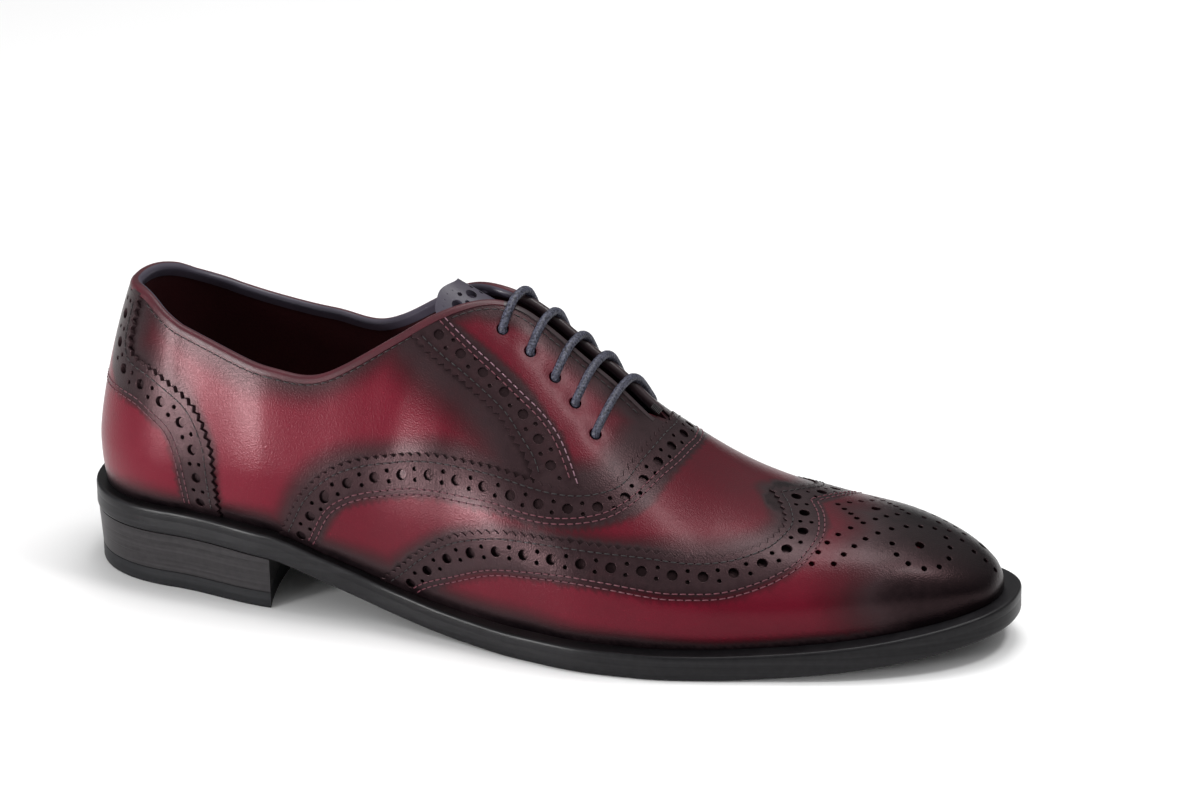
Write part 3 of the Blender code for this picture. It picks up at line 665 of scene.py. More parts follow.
# Patches of leather: flat patterns triangulated with their holes, then laid on the last
class Pattern:
    """Points and edges of one flat pattern, with the height and the darkness of each point: painted shade in
    holes and needle pits, and darker cut edges.
    """

    def __init__(self, chart):
        self.chart = chart
        self.places, self.heights, self.darks, self.edges = [], [], [], []
        self.holes = []
        self.loops = []
        self.count = 0

    def add(self, places, height=0.0, dark=0.0):
        start = self.count
        places = np.asarray(places)
        self.places.append(places)
        self.heights.append(np.broadcast_to(height, len(places)).astype(float))
        self.darks.append(np.broadcast_to(dark, len(places)).astype(float))
        self.count += len(places)
        return np.arange(start, self.count)

    def ring(self, places, height, dark):
        index = self.add(places, height, dark)
        self.edges += list(zip(index, np.roll(index, -1)))

    def border(self, loop):
        """Outer edge of the pattern, with a second ring inside it that makes the cut edge round; the edge is
        darkened.
        """
        self.loops.append(loop)
        self.ring(loop, -EDGE_ROUND, 0.5)
        before, after = np.roll(loop, 1, 0), np.roll(loop, -1, 0)
        way = after - before
        way /= np.linalg.norm(way, axis=1, keepdims=True) + 1e-12
        area = (loop[:, 0] * after[:, 1] - after[:, 0] * loop[:, 1]).sum()
        inner = loop + np.stack([-way[:, 1], way[:, 0]], -1) * np.sign(area) * 1.2 * EDGE_ROUND
        self.add(inner, 0.0, 0.25)

    def crossing(self, centres):
        """Two unit directions on the leather at each place."""
        _, u, _, normal = frames(self.chart, centres)
        u = u / np.linalg.norm(u, axis=1, keepdims=True)
        return u, np.cross(normal, u)

    def hole(self, centres, radius, sides):
        """Punched holes with rounded rims, their walls darkened with painted shade."""
        u, v = self.crossing(centres)
        angles = np.arange(sides) * 2 * np.pi / sides
        for k, centre in enumerate(centres):
            spokes = np.cos(angles)[:, None] * u[k] + np.sin(angles)[:, None] * v[k]
            around = np.tile(centre, (sides, 1))
            self.ring(shifted(self.chart, around, spokes * radius), -0.7 * EDGE_ROUND, 0.55)
            self.add(shifted(self.chart, around, spokes * (radius + 0.9 * EDGE_ROUND)), 0.0, 0.2)
            self.holes.append((centre, shifted(self.chart, around, spokes * radius)))

    def pits(self, centres, sides=6):
        """Needle holes: small dimples in the leather, darkened at the middle with painted shade."""
        self.add(centres, -PIT_DEPTH, 1.0)
        u, v = self.crossing(centres)
        for angle in np.arange(sides) * 2 * np.pi / sides:
            spoke = np.cos(angle) * u + np.sin(angle) * v
            self.add(shifted(self.chart, centres, spoke * PIT_RADIUS), -0.04 * MM, 0.55)

    def fill(self, spacing):
        """Even points in the rest of the pattern."""
        fixed = np.concatenate(self.places)
        low, high = fixed.min(0), fixed.max(0)
        columns = np.arange(low[0], high[0], spacing)
        rows = np.arange(low[1], high[1], spacing * 0.866)
        grid = np.array([(x + (r % 2) * spacing / 2, y) for r, y in enumerate(rows) for x in columns])
        grid = grid[within(grid, self.loops[0])]
        tree = tree_of([(x, y, 0) for x, y in fixed])
        clear = np.array([tree.find((p[0], p[1], 0))[2] > 0.6 * spacing for p in grid])
        grid = grid[clear]
        self.add(grid[~self.in_hole(grid)])

    def in_hole(self, places):
        found = np.zeros(len(places), bool)
        for centre, rim in self.holes:
            reach = np.linalg.norm(rim - centre, axis=1).max()
            near = np.flatnonzero(np.linalg.norm(places - centre, axis=1) < reach)
            found[near] |= within(places[near], rim)
        return found

    def triangulated(self):
        """Flat points, heights, darkness and the triangles inside the border and outside the holes."""
        places = np.concatenate(self.places)
        heights, darks = np.concatenate(self.heights), np.concatenate(self.darks)
        in_mm = [Vector((x, y)) for x, y in places / MM]
        flat, _, triangles, origins, _, _ = delaunay_2d_cdt(
            in_mm, [(int(a), int(b)) for a, b in self.edges], [], 0, 1e-5
        )
        flat = np.array([tuple(p) for p in flat]) * MM
        source = np.array([o[0] if o else -1 for o in origins])
        heights = np.where(source >= 0, heights[source], -EDGE_ROUND)
        darks = np.where(source >= 0, darks[source], 0.5)
        triangles = np.array([t for t in triangles if len(t) == 3])
        middle = flat[triangles].mean(1)
        kept = within(middle, self.loops[0]) & ~self.in_hole(middle)
        return flat, heights, darks, triangles[kept]


def within(points, loop):
    """Which points lie inside a closed outline."""
    inside = np.zeros(len(points), bool)
    ax, ay = loop[:, 0], loop[:, 1]
    bx, by = np.roll(ax, -1), np.roll(ay, -1)
    slope = (bx - ax) / np.where(by == ay, 1e-12, by - ay)
    for start in range(0, len(points), 4000):
        px, py = points[start : start + 4000, 0, None], points[start : start + 4000, 1, None]
        crosses = ((ay > py) != (by > py)) & (px < ax + (py - ay) * slope)
        inside[start : start + 4000] = crosses.sum(1) % 2 == 1
    return inside


def mesh_object(name, points, faces, material, attributes=(), sharp=SHARP, normals=None):
    mesh = bpy.data.meshes.new(name)
    mesh.from_pydata([tuple(p) for p in points], [], [tuple(map(int, face)) for face in faces])
    mesh.shade_smooth()
    mesh.set_sharp_from_angle(angle=sharp)
    if normals is not None:
        mesh.normals_split_custom_set(normals)
    for key, values in attributes:
        layer = mesh.attributes.new(key, "FLOAT", "POINT")
        layer.data.foreach_set("value", np.asarray(values, np.float32))
    mesh.materials.append(material)
    piece = bpy.data.objects.new(name, mesh)
    bpy.context.scene.collection.objects.link(piece)
    return piece


def rim_edges(triangles):
    """Directed edges that only one triangle has."""
    edges = np.concatenate([triangles[:, [0, 1]], triangles[:, [1, 2]], triangles[:, [2, 0]]])
    keys = edges[:, 0] * 10_000_000 + edges[:, 1]
    back = edges[:, 1] * 10_000_000 + edges[:, 0]
    return edges[~np.isin(keys, back)]


def renumbered(triangles, count):
    """The points that the triangles use, and the triangles over those alone."""
    used = np.unique(triangles)
    place = np.full(count, -1)
    place[used] = np.arange(len(used))
    return used, place[triangles]


def facing_out(chart, flat, points, triangles):
    """The triangles with their corners in the order that faces out of the shoe."""
    outward = frames(chart, flat[triangles].mean(1))[3]
    a, b, c = (points[triangles[:, k]] for k in range(3))
    turned = (np.cross(b - a, c - a) * outward).sum(1) < 0
    triangles[turned] = triangles[turned][:, ::-1]
    return triangles


def sheet_body(outer, inner, triangles):
    """Points and faces of the leather between an outer and an inner sheet."""
    used, triangles = renumbered(triangles, len(outer))
    count = len(used)
    faces = [tuple(t) for t in triangles]
    faces += [tuple(t[::-1] + count) for t in triangles]
    faces += [(b, a, a + count, b + count) for a, b in rim_edges(triangles)]
    return np.concatenate([outer[used], inner[used]]), faces, used


def corner_normals(points, faces, smooth_normals, steep):
    """Normals of the face corners: the leather's own, but the faces' own at cut edges and needle holes."""
    count = len(smooth_normals)
    triangles, walls = (np.array([f for f in faces if len(f) == n]) for n in (3, 4))
    a, b, c = (points[triangles[:, k]] for k in range(3))
    facing = unit(np.cross(b - a, c - a))[:, None].repeat(3, 1)
    inner = triangles >= count
    own = smooth_normals[triangles % count] * np.where(inner, -1.0, 1.0)[..., None]
    follows = ((own * facing).sum(-1) > 0.6) & ~(steep[triangles % count] & ~inner)
    corners = np.where(follows[..., None], own, facing).reshape(-1, 3)
    a, b, c, d = (points[walls[:, k]] for k in range(4))
    rim = unit(np.cross(c - a, d - b))[:, None].repeat(4, 1).reshape(-1, 3)
    return np.concatenate([corners, rim])


def laid(name, kind, pattern, height, thickness, material, shape=None):
    """A pattern laid on the last as a piece of leather, its outer face at a height."""
    flat, heights, darks, triangles = pattern.triangulated()
    chart = pattern.chart
    x, girth, side = chart.knots(flat)
    lift = height + heights
    if shape is not None:
        lift = lift + shape(x, girth, side)
    outer = last_points(x, girth, side, lift)
    inner = last_points(x, girth, side, lift - heights - thickness)
    points, faces, used = sheet_body(outer, inner, facing_out(chart, flat, outer, triangles))
    dye_and_shade_share = dye_and_shade(kind, x[used], girth[used], side[used], outer[used])
    attributes = (
        ("dye_and_shade", np.tile(dye_and_shade_share, 2)),
        ("dark", np.concatenate([darks[used], np.full(len(used), INNER_WALL_SHADE)])),
    )
    leather = frames(chart, flat[used], height, shape)[3]
    normals = corner_normals(points, faces, leather, heights[used] < STEEP)
    return mesh_object(name, points, faces, material, attributes, normals=normals)


STEEP = -0.05 * MM  # points lower than this belong to a cut edge or a needle hole
INNER_WALL_SHADE = 0.9  # painted shade of the walls of the holes, at the inner face


# Burnish: dark dye round the seams, the edges, the toe and the heel's foot, with painted shade under the
# overlays' bands and at the feet of their teeth
BAND_INSET = 6.4 * MM  # from a gimped edge to the middle of its band


def topline_line(side, count=400, start=0.0, end=THROAT_END):
    x = start + (end - start) * (1 - np.cos(np.linspace(0, np.pi / 2, count)))
    return Line(SIDES[side], SIDES[side].flat(x, topline(x, side), side))


def dye_and_shade_trees():
    """Trees of points along the edges, the middles of their bands, the rim and the throat."""
    lines = {
        "counter": [(traced(SIDES[s], COUNTER_EDGE, s), s) for s in (-1, 1)],
        "eyestay": [(traced(SIDES[s], EYESTAY_EDGE, s), -s) for s in (-1, 1)],
        "vamp": [(across_crown(VAMP_EDGE), -1)],
        "wing": [(across_wing(WING_EDGE), -1)],
        "rim": [(topline_line(s, end=COLLAR_END), 0) for s in (-1, 1)],
        "throat": [(topline_line(s, start=COLLAR_END), 0) for s in (-1, 1)],
    }
    trees = {}
    for name, pairs in lines.items():
        bands = [line.beside(way * BAND_INSET) for line, way in pairs if way]
        for key, group in ((name, [line for line, _ in pairs]), (name + "_band", bands)):
            points = [last_points(*line.chart.knots(line.places)) for line in group]
            if points:
                trees[key] = tree_of(np.concatenate(points))
    return trees


def wave(x, girth, side):
    """Slow unevenness of the hand-rubbed dye."""
    return (
        np.sin(23.0 * x + 7.0 * girth + side)
        + np.sin(-11.0 * x + 19.0 * girth + 2.0 * side)
        + np.sin(41.0 * x - 13.0 * girth)
    ) / 3


def dye_and_shade(kind, x, girth, side, points):
    """Share of dark dye and painted shade at each point of a panel: 0 red, 1 nearly black."""
    uneven = 1 + 0.22 * wave(x, girth, side)

    def away(line):
        return np.array([TREES[line].find(p)[2] for p in points])

    def darkened_near(line, near, far, strength):
        """Darkening of this strength up to near mm from a line, gone at far mm: dye, and painted shadow where
        it hugs the feet of the gimped teeth.
        """
        return strength * fog(away(line) / uneven, near * MM, far * MM)

    def shade_under_band(line):
        """Painted shade under the band of the panel above, which darkens the floors of its punched holes."""
        return fog(away(line + "_band"), 5.2 * MM, 7.4 * MM)

    def own(line):
        """On the panel's own band."""
        return 0.84 * np.maximum(fog(away(line + "_band"), 5.6 * MM, 8.4 * MM), darkened_near(line, 3.0, 5.0, 1.0))

    shares = [0.97 * fog(girth / uneven, 0.01, 0.14)]
    if kind == "quarters":
        shares.append(darkened_near("counter", 0.5, 4 + 20 * smooth(girth, 0.40, 0.62), 0.88))
        shares.append(darkened_near("rim", 1.0, 13.0, 0.84))
        shares.append(darkened_near("eyestay", 3.0, 22.0, 0.86))
        shares.append(darkened_near("vamp", 0.5, 8.0 + 5.0 * smooth(x, 0.38, 0.46), 0.80))
        # painted shade: the quarters darkened under the overlays' bands, seen through their holes
        shares += [0.95 * shade_under_band(line) for line in ("counter", "eyestay", "vamp", "wing")]
        # painted shadow: a narrow dark line at the feet of the gimped teeth
        shares += [darkened_near(line, 0.9, 1.9, 0.96) for line in ("counter", "eyestay", "vamp")]
    if kind == "eyestay":
        shares.append(own("eyestay"))
        shares.append(np.full(len(x), 0.20))
        shares.append(darkened_near("throat", 4.0, 10.0 + 5.0 * smooth(x, 0.49, 0.55), 0.88))
        shares.append(darkened_near("vamp", 4.0, 17.0, 0.86))
        shares.append(darkened_near("rim", 2.0, 9.0, 0.80))
    if kind == "vamp":
        front = smooth(x, 0.62, 0.71)
        shares.append(own("vamp"))
        shares.append(darkened_near("wing", 0.5, 7.0 + 4.0 * front, 0.72 + 0.12 * front))
        # painted shade: the vamp darkened under the wing cap's band, seen through its holes
        shares.append(0.95 * shade_under_band("wing"))
        # painted shadow: a narrow dark line at the feet of the wing cap's teeth
        shares.append(darkened_near("wing", 0.9, 1.9, 0.96))
        shares.append(0.18 + 0.18 * smooth(girth, 0.62, 0.95))
    if kind == "wing":
        shares.append(own("wing"))
        shares.append(np.full(len(x), 0.14))
        shares.append(smooth(x + 0.05 * (girth - 0.5) + 0.012 * wave(x, girth, side), 0.785, 0.92))
    if kind == "counter":
        shares.append(own("counter"))
        shares.append(0.85 * smooth(girth, 0.50, 0.62))
    return np.clip(np.max(shares, axis=0), 0, 1)


# Materials
def node(tree, kind, **values):
    made = tree.nodes.new(kind)
    for key, value in values.items():
        setattr(made, key, value)
    return made


def new_material(name):
    """Material, its tree and the object's own coordinates there."""
    material = bpy.data.materials.new(name)
    material.use_nodes = True
    tree = material.node_tree
    return material, tree, node(tree, "ShaderNodeTexCoord").outputs["Object"]


def plug(made, **inputs):
    """Sets or links a node's inputs by name, with _ for a space."""
    for key, value in inputs.items():
        socket = made.inputs[key.replace("_", " ")]
        if isinstance(value, bpy.types.NodeSocket):
            made.id_data.links.new(value, socket)
        else:
            socket.default_value = value
    return made


def shaded(material, **inputs):
    plug(material.node_tree.nodes["Principled BSDF"], **inputs)
    return material


def noise(tree, where, scale, detail=3.0, roughness=0.5):
    made = node(tree, "ShaderNodeTexNoise")
    return plug(made, Scale=scale, Detail=detail, Roughness=roughness, Vector=where).outputs["Fac"]


def bump(tree, height, distance, strength=1.0):
    made = node(tree, "ShaderNodeBump")
    return plug(made, Strength=strength, Distance=distance, Height=height).outputs["Normal"]


def maths(tree, operation, a, b, clamp=False):
    made = node(tree, "ShaderNodeMath", operation=operation, use_clamp=clamp)
    for socket, value in zip(made.inputs, (a, b)):
        if isinstance(value, (int, float)):
            socket.default_value = value
        else:
            tree.links.new(value, socket)
    return made.outputs[0]


def scaled(tree, value, factor, plus):
    """value * factor + plus"""
    return maths(tree, "ADD", maths(tree, "MULTIPLY", value, factor), plus)


def mixed(tree, factor, a, b):
    made = node(tree, "ShaderNodeMix", data_type="RGBA")
    for number, value in ((0, factor), (6, a), (7, b)):
        if isinstance(value, tuple):
            made.inputs[number].default_value = (*value, 1.0)
        else:
            tree.links.new(value, made.inputs[number])
    return made.outputs[2]


def ramp(tree, factor, stops):
    made = node(tree, "ShaderNodeValToRGB")
    elements = made.color_ramp.elements
    while len(elements) < len(stops):
        elements.new(0.5)
    for element, (position, colour) in zip(elements, stops):
        element.position = position
        element.color = (*colour, 1.0)
    return plug(made, Fac=factor).outputs["Color"]


def attribute(tree, name):
    return node(tree, "ShaderNodeAttribute", attribute_name=name).outputs["Fac"]


# Colours from red to near black, for the dye and for the painted shade
DYE_AND_SHADE_STOPS = (
    (0.00, (0.104, 0.0038, 0.0125)),
    (0.30, (0.060, 0.0034, 0.0085)),
    (0.60, (0.030, 0.0062, 0.0085)),
    (0.84, (0.020, 0.0120, 0.0135)),
    (1.00, (0.0020, 0.0015, 0.0020)),
)


HOLE_SHADE_AND_EDGE_COLOUR = (0.006, 0.003, 0.004)  # painted shade of needle holes and punched holes, and the colour of the darker cut edges


def calf_leather(name):
    """Box calf, dyed red and burnished dark by hand, with painted shade in its holes and under its bands: fine
    grain under a waxed, half-gloss top.
    """
    material, tree, where = new_material(name)
    cloud = maths(tree, "SUBTRACT", noise(tree, where, 55.0, 4.0), 0.5)
    mottle = maths(tree, "SUBTRACT", noise(tree, where, 420.0), 0.5)
    # the share of dye and painted shade, made uneven
    share = scaled(tree, cloud, 0.20, attribute(tree, "dye_and_shade"))
    share = maths(tree, "ADD", share, maths(tree, "MULTIPLY", mottle, 0.10), True)
    # painted shade in holes and needle pits, and the darker cut edges, mixed in by the dark attribute
    colour = mixed(tree, attribute(tree, "dark"), ramp(tree, share, DYE_AND_SHADE_STOPS), HOLE_SHADE_AND_EDGE_COLOUR)
    grain = plug(node(tree, "ShaderNodeTexVoronoi", feature="SMOOTH_F1"), Scale=2200.0, Vector=where)
    height = scaled(tree, noise(tree, where, 2600.0, 2.0, 0.6), 0.6, grain.outputs["Distance"])
    return shaded(
        material,
        Base_Color=colour,
        Roughness=scaled(tree, noise(tree, where, 900.0), 0.14, 0.24),
        Normal=bump(tree, height, 0.00012, 0.5),
        Specular_IOR_Level=0.20,
        Specular_Tint=(1.0, 0.56, 0.60, 1.0),
        Coat_Weight=0.03,
        Coat_Roughness=0.18,
    )


def plain_leather(name, colour, darker, roughness, grain_scale, grain_depth, coat=0.0):
    material, tree, where = new_material(name)
    return shaded(
        material,
        Base_Color=mixed(tree, noise(tree, where, 130.0, 5.0), colour, darker),
        Roughness=scaled(tree, noise(tree, where, 700.0), 0.2, roughness - 0.1),
        Normal=bump(tree, noise(tree, where, grain_scale, 4.0, 0.65), grain_depth, 0.7),
        Specular_IOR_Level=0.24,
        Coat_Weight=coat,
        Coat_Roughness=0.25,
    )


def edge_material(name, colour, roughness, stripe):
    """Inked and waxed edge of sole leather: faint layers that run along it."""
    material, tree, where = new_material(name)
    mapping = plug(node(tree, "ShaderNodeMapping"), Scale=(12.0, 12.0, 900.0), Vector=where)
    layers = noise(tree, mapping.outputs["Vector"], 1.0, 5.0, 0.6)
    flecks = maths(tree, "MULTIPLY", noise(tree, where, 500.0), 0.3)
    tone = scaled(tree, layers, 0.7, flecks)
    lighter = tuple(min(1.0, c * 1.9 + 0.004) for c in colour)
    return shaded(
        material,
        Base_Color=ramp(tree, tone, ((0.35, colour), (0.72, lighter))),
        Roughness=scaled(tree, tone, 0.25, roughness - 0.1),
        Normal=bump(tree, layers, stripe, 0.6),
        Specular_IOR_Level=0.13,
        Coat_Weight=0.04,
        Coat_Roughness=0.3,
    )


def thread_material(name, colour):
    material, tree, where = new_material(name)
    twist = noise(tree, where, 3000.0, 2.0)
    darker = tuple(c * 0.5 for c in colour)
    return shaded(
        material,
        Base_Color=mixed(tree, twist, darker, colour),
        Normal=bump(tree, twist, 0.00006),
        Roughness=0.55,
    )


def cord_material():
    """Waxed cotton cord, dark navy with paler flecks of thread."""
    material, tree, where = new_material("waxed_cord")
    flecks = noise(tree, where, 1500.0, 3.0, 0.6)
    return shaded(
        material,
        Base_Color=ramp(tree, flecks, ((0.38, (0.010, 0.010, 0.017)), (0.66, (0.085, 0.088, 0.125)))),
        Normal=bump(tree, flecks, 0.00012),
        Roughness=0.46,
        Specular_IOR_Level=0.30,
    )


def floor_material():
    material, tree, where = new_material("floor")
    colour = mixed(tree, noise(tree, where, 3.0, 2.0), (0.93, 0.93, 0.93), (0.95, 0.95, 0.95))
    return shaded(material, Base_Color=colour, Roughness=0.45)


CALF = calf_leather("burgundy_calf")
BINDING = plain_leather(
    "topline_binding", (0.075, 0.009, 0.016), (0.030, 0.009, 0.012), 0.42, 1600.0, 0.00010, 0.05
)
FACING_EDGE = plain_leather(
    "facing_edge", (0.030, 0.016, 0.019), (0.018, 0.010, 0.012), 0.36, 1600.0, 0.00006, 0.2
)
NAVY = plain_leather(
    "navy_leather", (0.060, 0.052, 0.072), (0.035, 0.030, 0.044), 0.42, 1700.0, 0.00006, 0.15
)
LINING = plain_leather("maroon_lining", (0.040, 0.004, 0.006), (0.022, 0.003, 0.004), 0.75, 1500.0, 0.00012)
SOCK = plain_leather("sock_leather", (0.080, 0.012, 0.016), (0.050, 0.008, 0.012), 0.6, 1400.0, 0.00008)
NATURAL = plain_leather("natural_sole_leather", (0.47, 0.24, 0.105), (0.38, 0.18, 0.075), 0.5, 900.0, 0.00010)
EDGE = edge_material("inked_edge", (0.0060, 0.0056, 0.0064), 0.34, 0.00010)
# painted sheen: the heel's lifts are coloured paler than the sole's edge to stand for the sheen on the heel's
# sides
LIFTS = edge_material("stacked_heel", (0.0140, 0.0125, 0.0135), 0.36, 0.00016)
RUBBER = edge_material("black_rubber", (0.0060, 0.0060, 0.0070), 0.45, 0.00004)
DARK_THREAD = thread_material("dark_thread", (0.012, 0.009, 0.010))
ROSE_THREAD = thread_material("rose_thread", (0.130, 0.030, 0.045))
LILAC_THREAD = thread_material("lilac_thread", (0.230, 0.115, 0.150))
WAXED_CORD = cord_material()


def root(piece, slot, *nodes):
    """Puts a piece on the shoe's one body and hides the parts that it stands for; the slot is not used."""
    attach(piece, "root")
    if nodes:
        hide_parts(*nodes)
    return piece


TREES = dye_and_shade_trees()


# Sole
# Length shares on each side of the sole, from the heel's back to the toe's tip
SHARES = np.concatenate([heel_shares(41)[:-1], np.linspace(HEEL_CENTRE, TOE_START, 150), toe_shares(49)])


def sole_ring(inset, extra, height):
    """Points of both sides of a ring round the sole: outer side first."""
    places = [outline(SHARES, side, inset, extra) for side in (-1, 1)]
    return np.array([np.column_stack([place, height(place[:, 0])]) for place in places])


def stacked(name, rings, material, hollow=False, strips=8):
    """Closed piece from rings round the sole, its two ends filled with strips across the shoe."""
    count = len(SHARES)
    points = np.concatenate([ring.reshape(-1, 3) for ring in rings])
    faces = []
    total = len(rings)
    for k in range(total if hollow else total - 1):
        a, b = k * 2 * count, ((k + 1) % total) * 2 * count
        for i in range(count - 1):
            faces.append((a + i, a + i + 1, b + i + 1, b + i)[::-1])
            faces.append((a + count + i, a + count + i + 1, b + count + i + 1, b + count + i))
        faces.append((a + count - 1, a + 2 * count - 1, b + 2 * count - 1, b + count - 1)[::-1])
    if not hollow:
        for ring, turn in ((0, 1), (total - 1, -1)):
            points, faces = capped(points, faces, ring * 2 * count, count, strips, turn)
    return mesh_object(name, points, faces, material)


def capped(points, faces, start, count, strips, turn):
    """Fills one end of a stack with a grid that runs across the shoe."""
    outer, inner = points[start : start + count], points[start + count : start + 2 * count]
    columns = [np.arange(start, start + count)]
    for k in range(1, strips):
        t = k / strips
        columns.append(np.arange(len(points), len(points) + count))
        points = np.concatenate([points, outer * (1 - t) + inner * t])
    columns.append(np.arange(start + count, start + 2 * count))
    for a, b in zip(columns, columns[1:]):
        for i in range(count - 1):
            faces.append((a[i], a[i + 1], b[i + 1], b[i])[::turn])
    return points, faces


def above(height):
    return lambda position: underside(position) + height


OUTSOLE_ROWS = (
    # mm in from the outline, mm above the underside
    (2.2, 0.00), (1.0, 0.00), (0.45, 0.12), (0.12, 0.45), (0.0, 1.0), (0.0, 2.6), (0.03, 4.6),
    (0.05, (OUTSOLE_THICKNESS + CLEARANCE / 2) / MM),
)


def make_outsole():
    rings = [sole_ring(0, inset * MM, above(up * MM)) for inset, up in OUTSOLE_ROWS]
    piece = stacked("outsole_leather", rings, EDGE, strips=10)
    piece.data.materials.append(NATURAL)
    for polygon in piece.data.polygons:
        if polygon.normal.z < -0.8 and polygon.center.z < underside(polygon.center.x) + 0.05 * MM:
            polygon.material_index = 1
    return root(piece, "sole_leather", "outsole")


def make_welt():
    low, top = OUTSOLE_THICKNESS + CLEARANCE / 2, WELT_TOP
    rows = (
        # 0 for the sole's edge and 1 for the feather, mm in from there, height
        (0, 0.05, low),
        (0, 0.0, low + 0.3 * MM),
        (0, 0.0, top - 1.1 * MM),
        (0, 0.10, top - 0.55 * MM),
        (0, 0.35, top - 0.15 * MM),
        (0, 0.8, top),
        (0, 1.5, top - 0.02 * MM),
        (0, 2.0, top - 0.02 * MM),
        (1, 0.3, top - 0.1 * MM),
        (1, 2.0, top - 0.2 * MM),
        (1, WELT_UNDERLAP / MM, top - 0.2 * MM),
        (1, WELT_UNDERLAP / MM, low),
    )
    rings = [sole_ring(inset, extra * MM, above(up)) for inset, extra, up in rows]
    return root(stacked("welt_strip", rings, EDGE, hollow=True), "edge_leather", "welt")


def make_insole():
    inset = (CLEARANCE - LINING_INNER) / MM
    rows = ((0.0, 0.0), (0.0, 1.5 * MM), (0.3, 2.2 * MM), (1.0, 2.5 * MM))
    rings = [sole_ring(1, (inset + extra) * MM, above(FEATHER + up)) for extra, up in rows]
    return root(stacked("sock_and_insole", rings, SOCK, strips=14), "lining_leather", "insole")


def heel_loop(extra, arc=36):
    """Plan outline of the heel: round the back, then along its hollow front."""
    centre = -SOLE_LENGTH / 2 + HEEL_LENGTH - BREAST_HOLLOW + BREAST_RADIUS
    shares = np.linspace(0.12, 0.30, 400)
    rows = []
    for side in (-1, 1):
        place = outline(shares, side, 0, extra)
        gap = np.hypot(place[:, 0] - centre, place[:, 1]) - BREAST_RADIUS
        end = float(np.interp(0, -gap, shares))
        x = np.concatenate([heel_shares(40), np.linspace(HEEL_CENTRE, end, 40)[1:]])
        place = outline(x, side, 0, extra)
        rows.append(place[::-1] if side < 0 else place[1:])
    angles = [np.arctan2(y, x - centre) % (2 * np.pi) for x, y in (rows[1][-1], rows[0][0])]
    sweep = np.linspace(angles[0], angles[1], arc)[1:-1]
    front = np.column_stack([centre + BREAST_RADIUS * np.cos(sweep), BREAST_RADIUS * np.sin(sweep)])
    return np.concatenate([rows[0], rows[1], front])


def tube_faces(rings, count):
    """Faces of a closed tube of rings of as many points each."""
    faces = [
        (a + i, a + (i + 1) % count, a + count + (i + 1) % count, a + count + i)
        for a in range(0, (rings - 1) * count, count)
        for i in range(count)
    ]
    return faces + [tuple(range(count))[::-1], tuple(range((rings - 1) * count, rings * count))]


def lofted(name, loops, material):
    faces = tube_faces(len(loops), len(loops[0]))
    return mesh_object(name, np.concatenate(loops), faces, material, sharp=np.radians(35))


LIFTS_COUNT = 3
# share of a lift's height, mm of groove
LIFT_ROWS = ((0.0, 0.03), (0.025, 0.0), (0.05, 0.0), (0.95, 0.0), (0.975, 0.0))
RUBBER_ROWS = (
    # mm in, mm up
    (0.7, 0.0), (0.15, 0.15), (0.0, 0.6), (0.0, 3.0),
    (0.0, TOP_LIFT_THICKNESS / MM - 0.2),
    (0.15, TOP_LIFT_THICKNESS / MM),
)


def make_heel():
    low = TOP_LIFT_THICKNESS + CLEARANCE / 2
    loops = []
    for k in range(LIFTS_COUNT):
        for t, groove in LIFT_ROWS:
            share = (k + t) / LIFTS_COUNT
            loop = heel_loop(HEEL_INSET + HEEL_TAPER * (1 - share) + groove * MM)
            top = underside(loop[:, 0]) - CLEARANCE / 2
            loops.append(np.column_stack([loop, low + (top - low) * share]))
    loop = heel_loop(HEEL_INSET + 0.2 * MM)
    loops.append(np.column_stack([loop, underside(loop[:, 0]) - CLEARANCE / 2]))
    root(lofted("heel_lifts", loops, LIFTS), "edge_leather", "heel_stack")
    loops = []
    for inset, up in RUBBER_ROWS:
        loop = heel_loop(HEEL_INSET + HEEL_TAPER + inset * MM)
        loops.append(np.column_stack([loop, np.full(len(loop), up * MM)]))
    root(lofted("heel_rubber", loops, RUBBER), "top_lift_rubber", "heel_top_lift")


# Upper
def toe_feather(start):
    """Along the feather from the medial side round the toe to the lateral side, on the crown's chart."""
    shares = np.concatenate([np.linspace(start, TOE_START, 90), toe_shares(50)])
    medial, lateral = (CROWN.flat(shares, FEATHER_TUCK, side) for side in (1, -1))
    return np.concatenate([medial[:-1], lateral[::-1]])


def half_shell(side):
    """Pattern of one half of the quarters or the lining, from the heel's back to the toe's tip."""
    chart = SIDES[side]
    pattern = Pattern(chart)
    shares = np.concatenate([heel_shares(30)[:-1], np.linspace(HEEL_CENTRE, THROAT_END, 160)])
    ahead = np.concatenate([np.linspace(TACK, TOE_START, 50), toe_shares(40)[:-1]])
    top = chart.flat(shares, topline(shares, side), side)
    crown = chart.flat(ahead, 1.0, side)
    bottom = chart.flat(np.concatenate([shares, ahead])[::-1], FEATHER_TUCK, side)
    back_girth = np.linspace(FEATHER_TUCK, float(topline(0.0, side)), 50)[1:-1]
    back = chart.flat(np.zeros(len(back_girth)), back_girth, side)
    loop = np.concatenate([top, crown, bottom, back])
    pattern.loops.append(loop)
    pattern.ring(loop, 0.0, 0.0)
    return pattern


def eyelet_places(side):
    rows = np.array(EYELETS)
    return SIDES[side].flat(rows[:, 0 if side < 0 else 1], rows[:, 2], side)


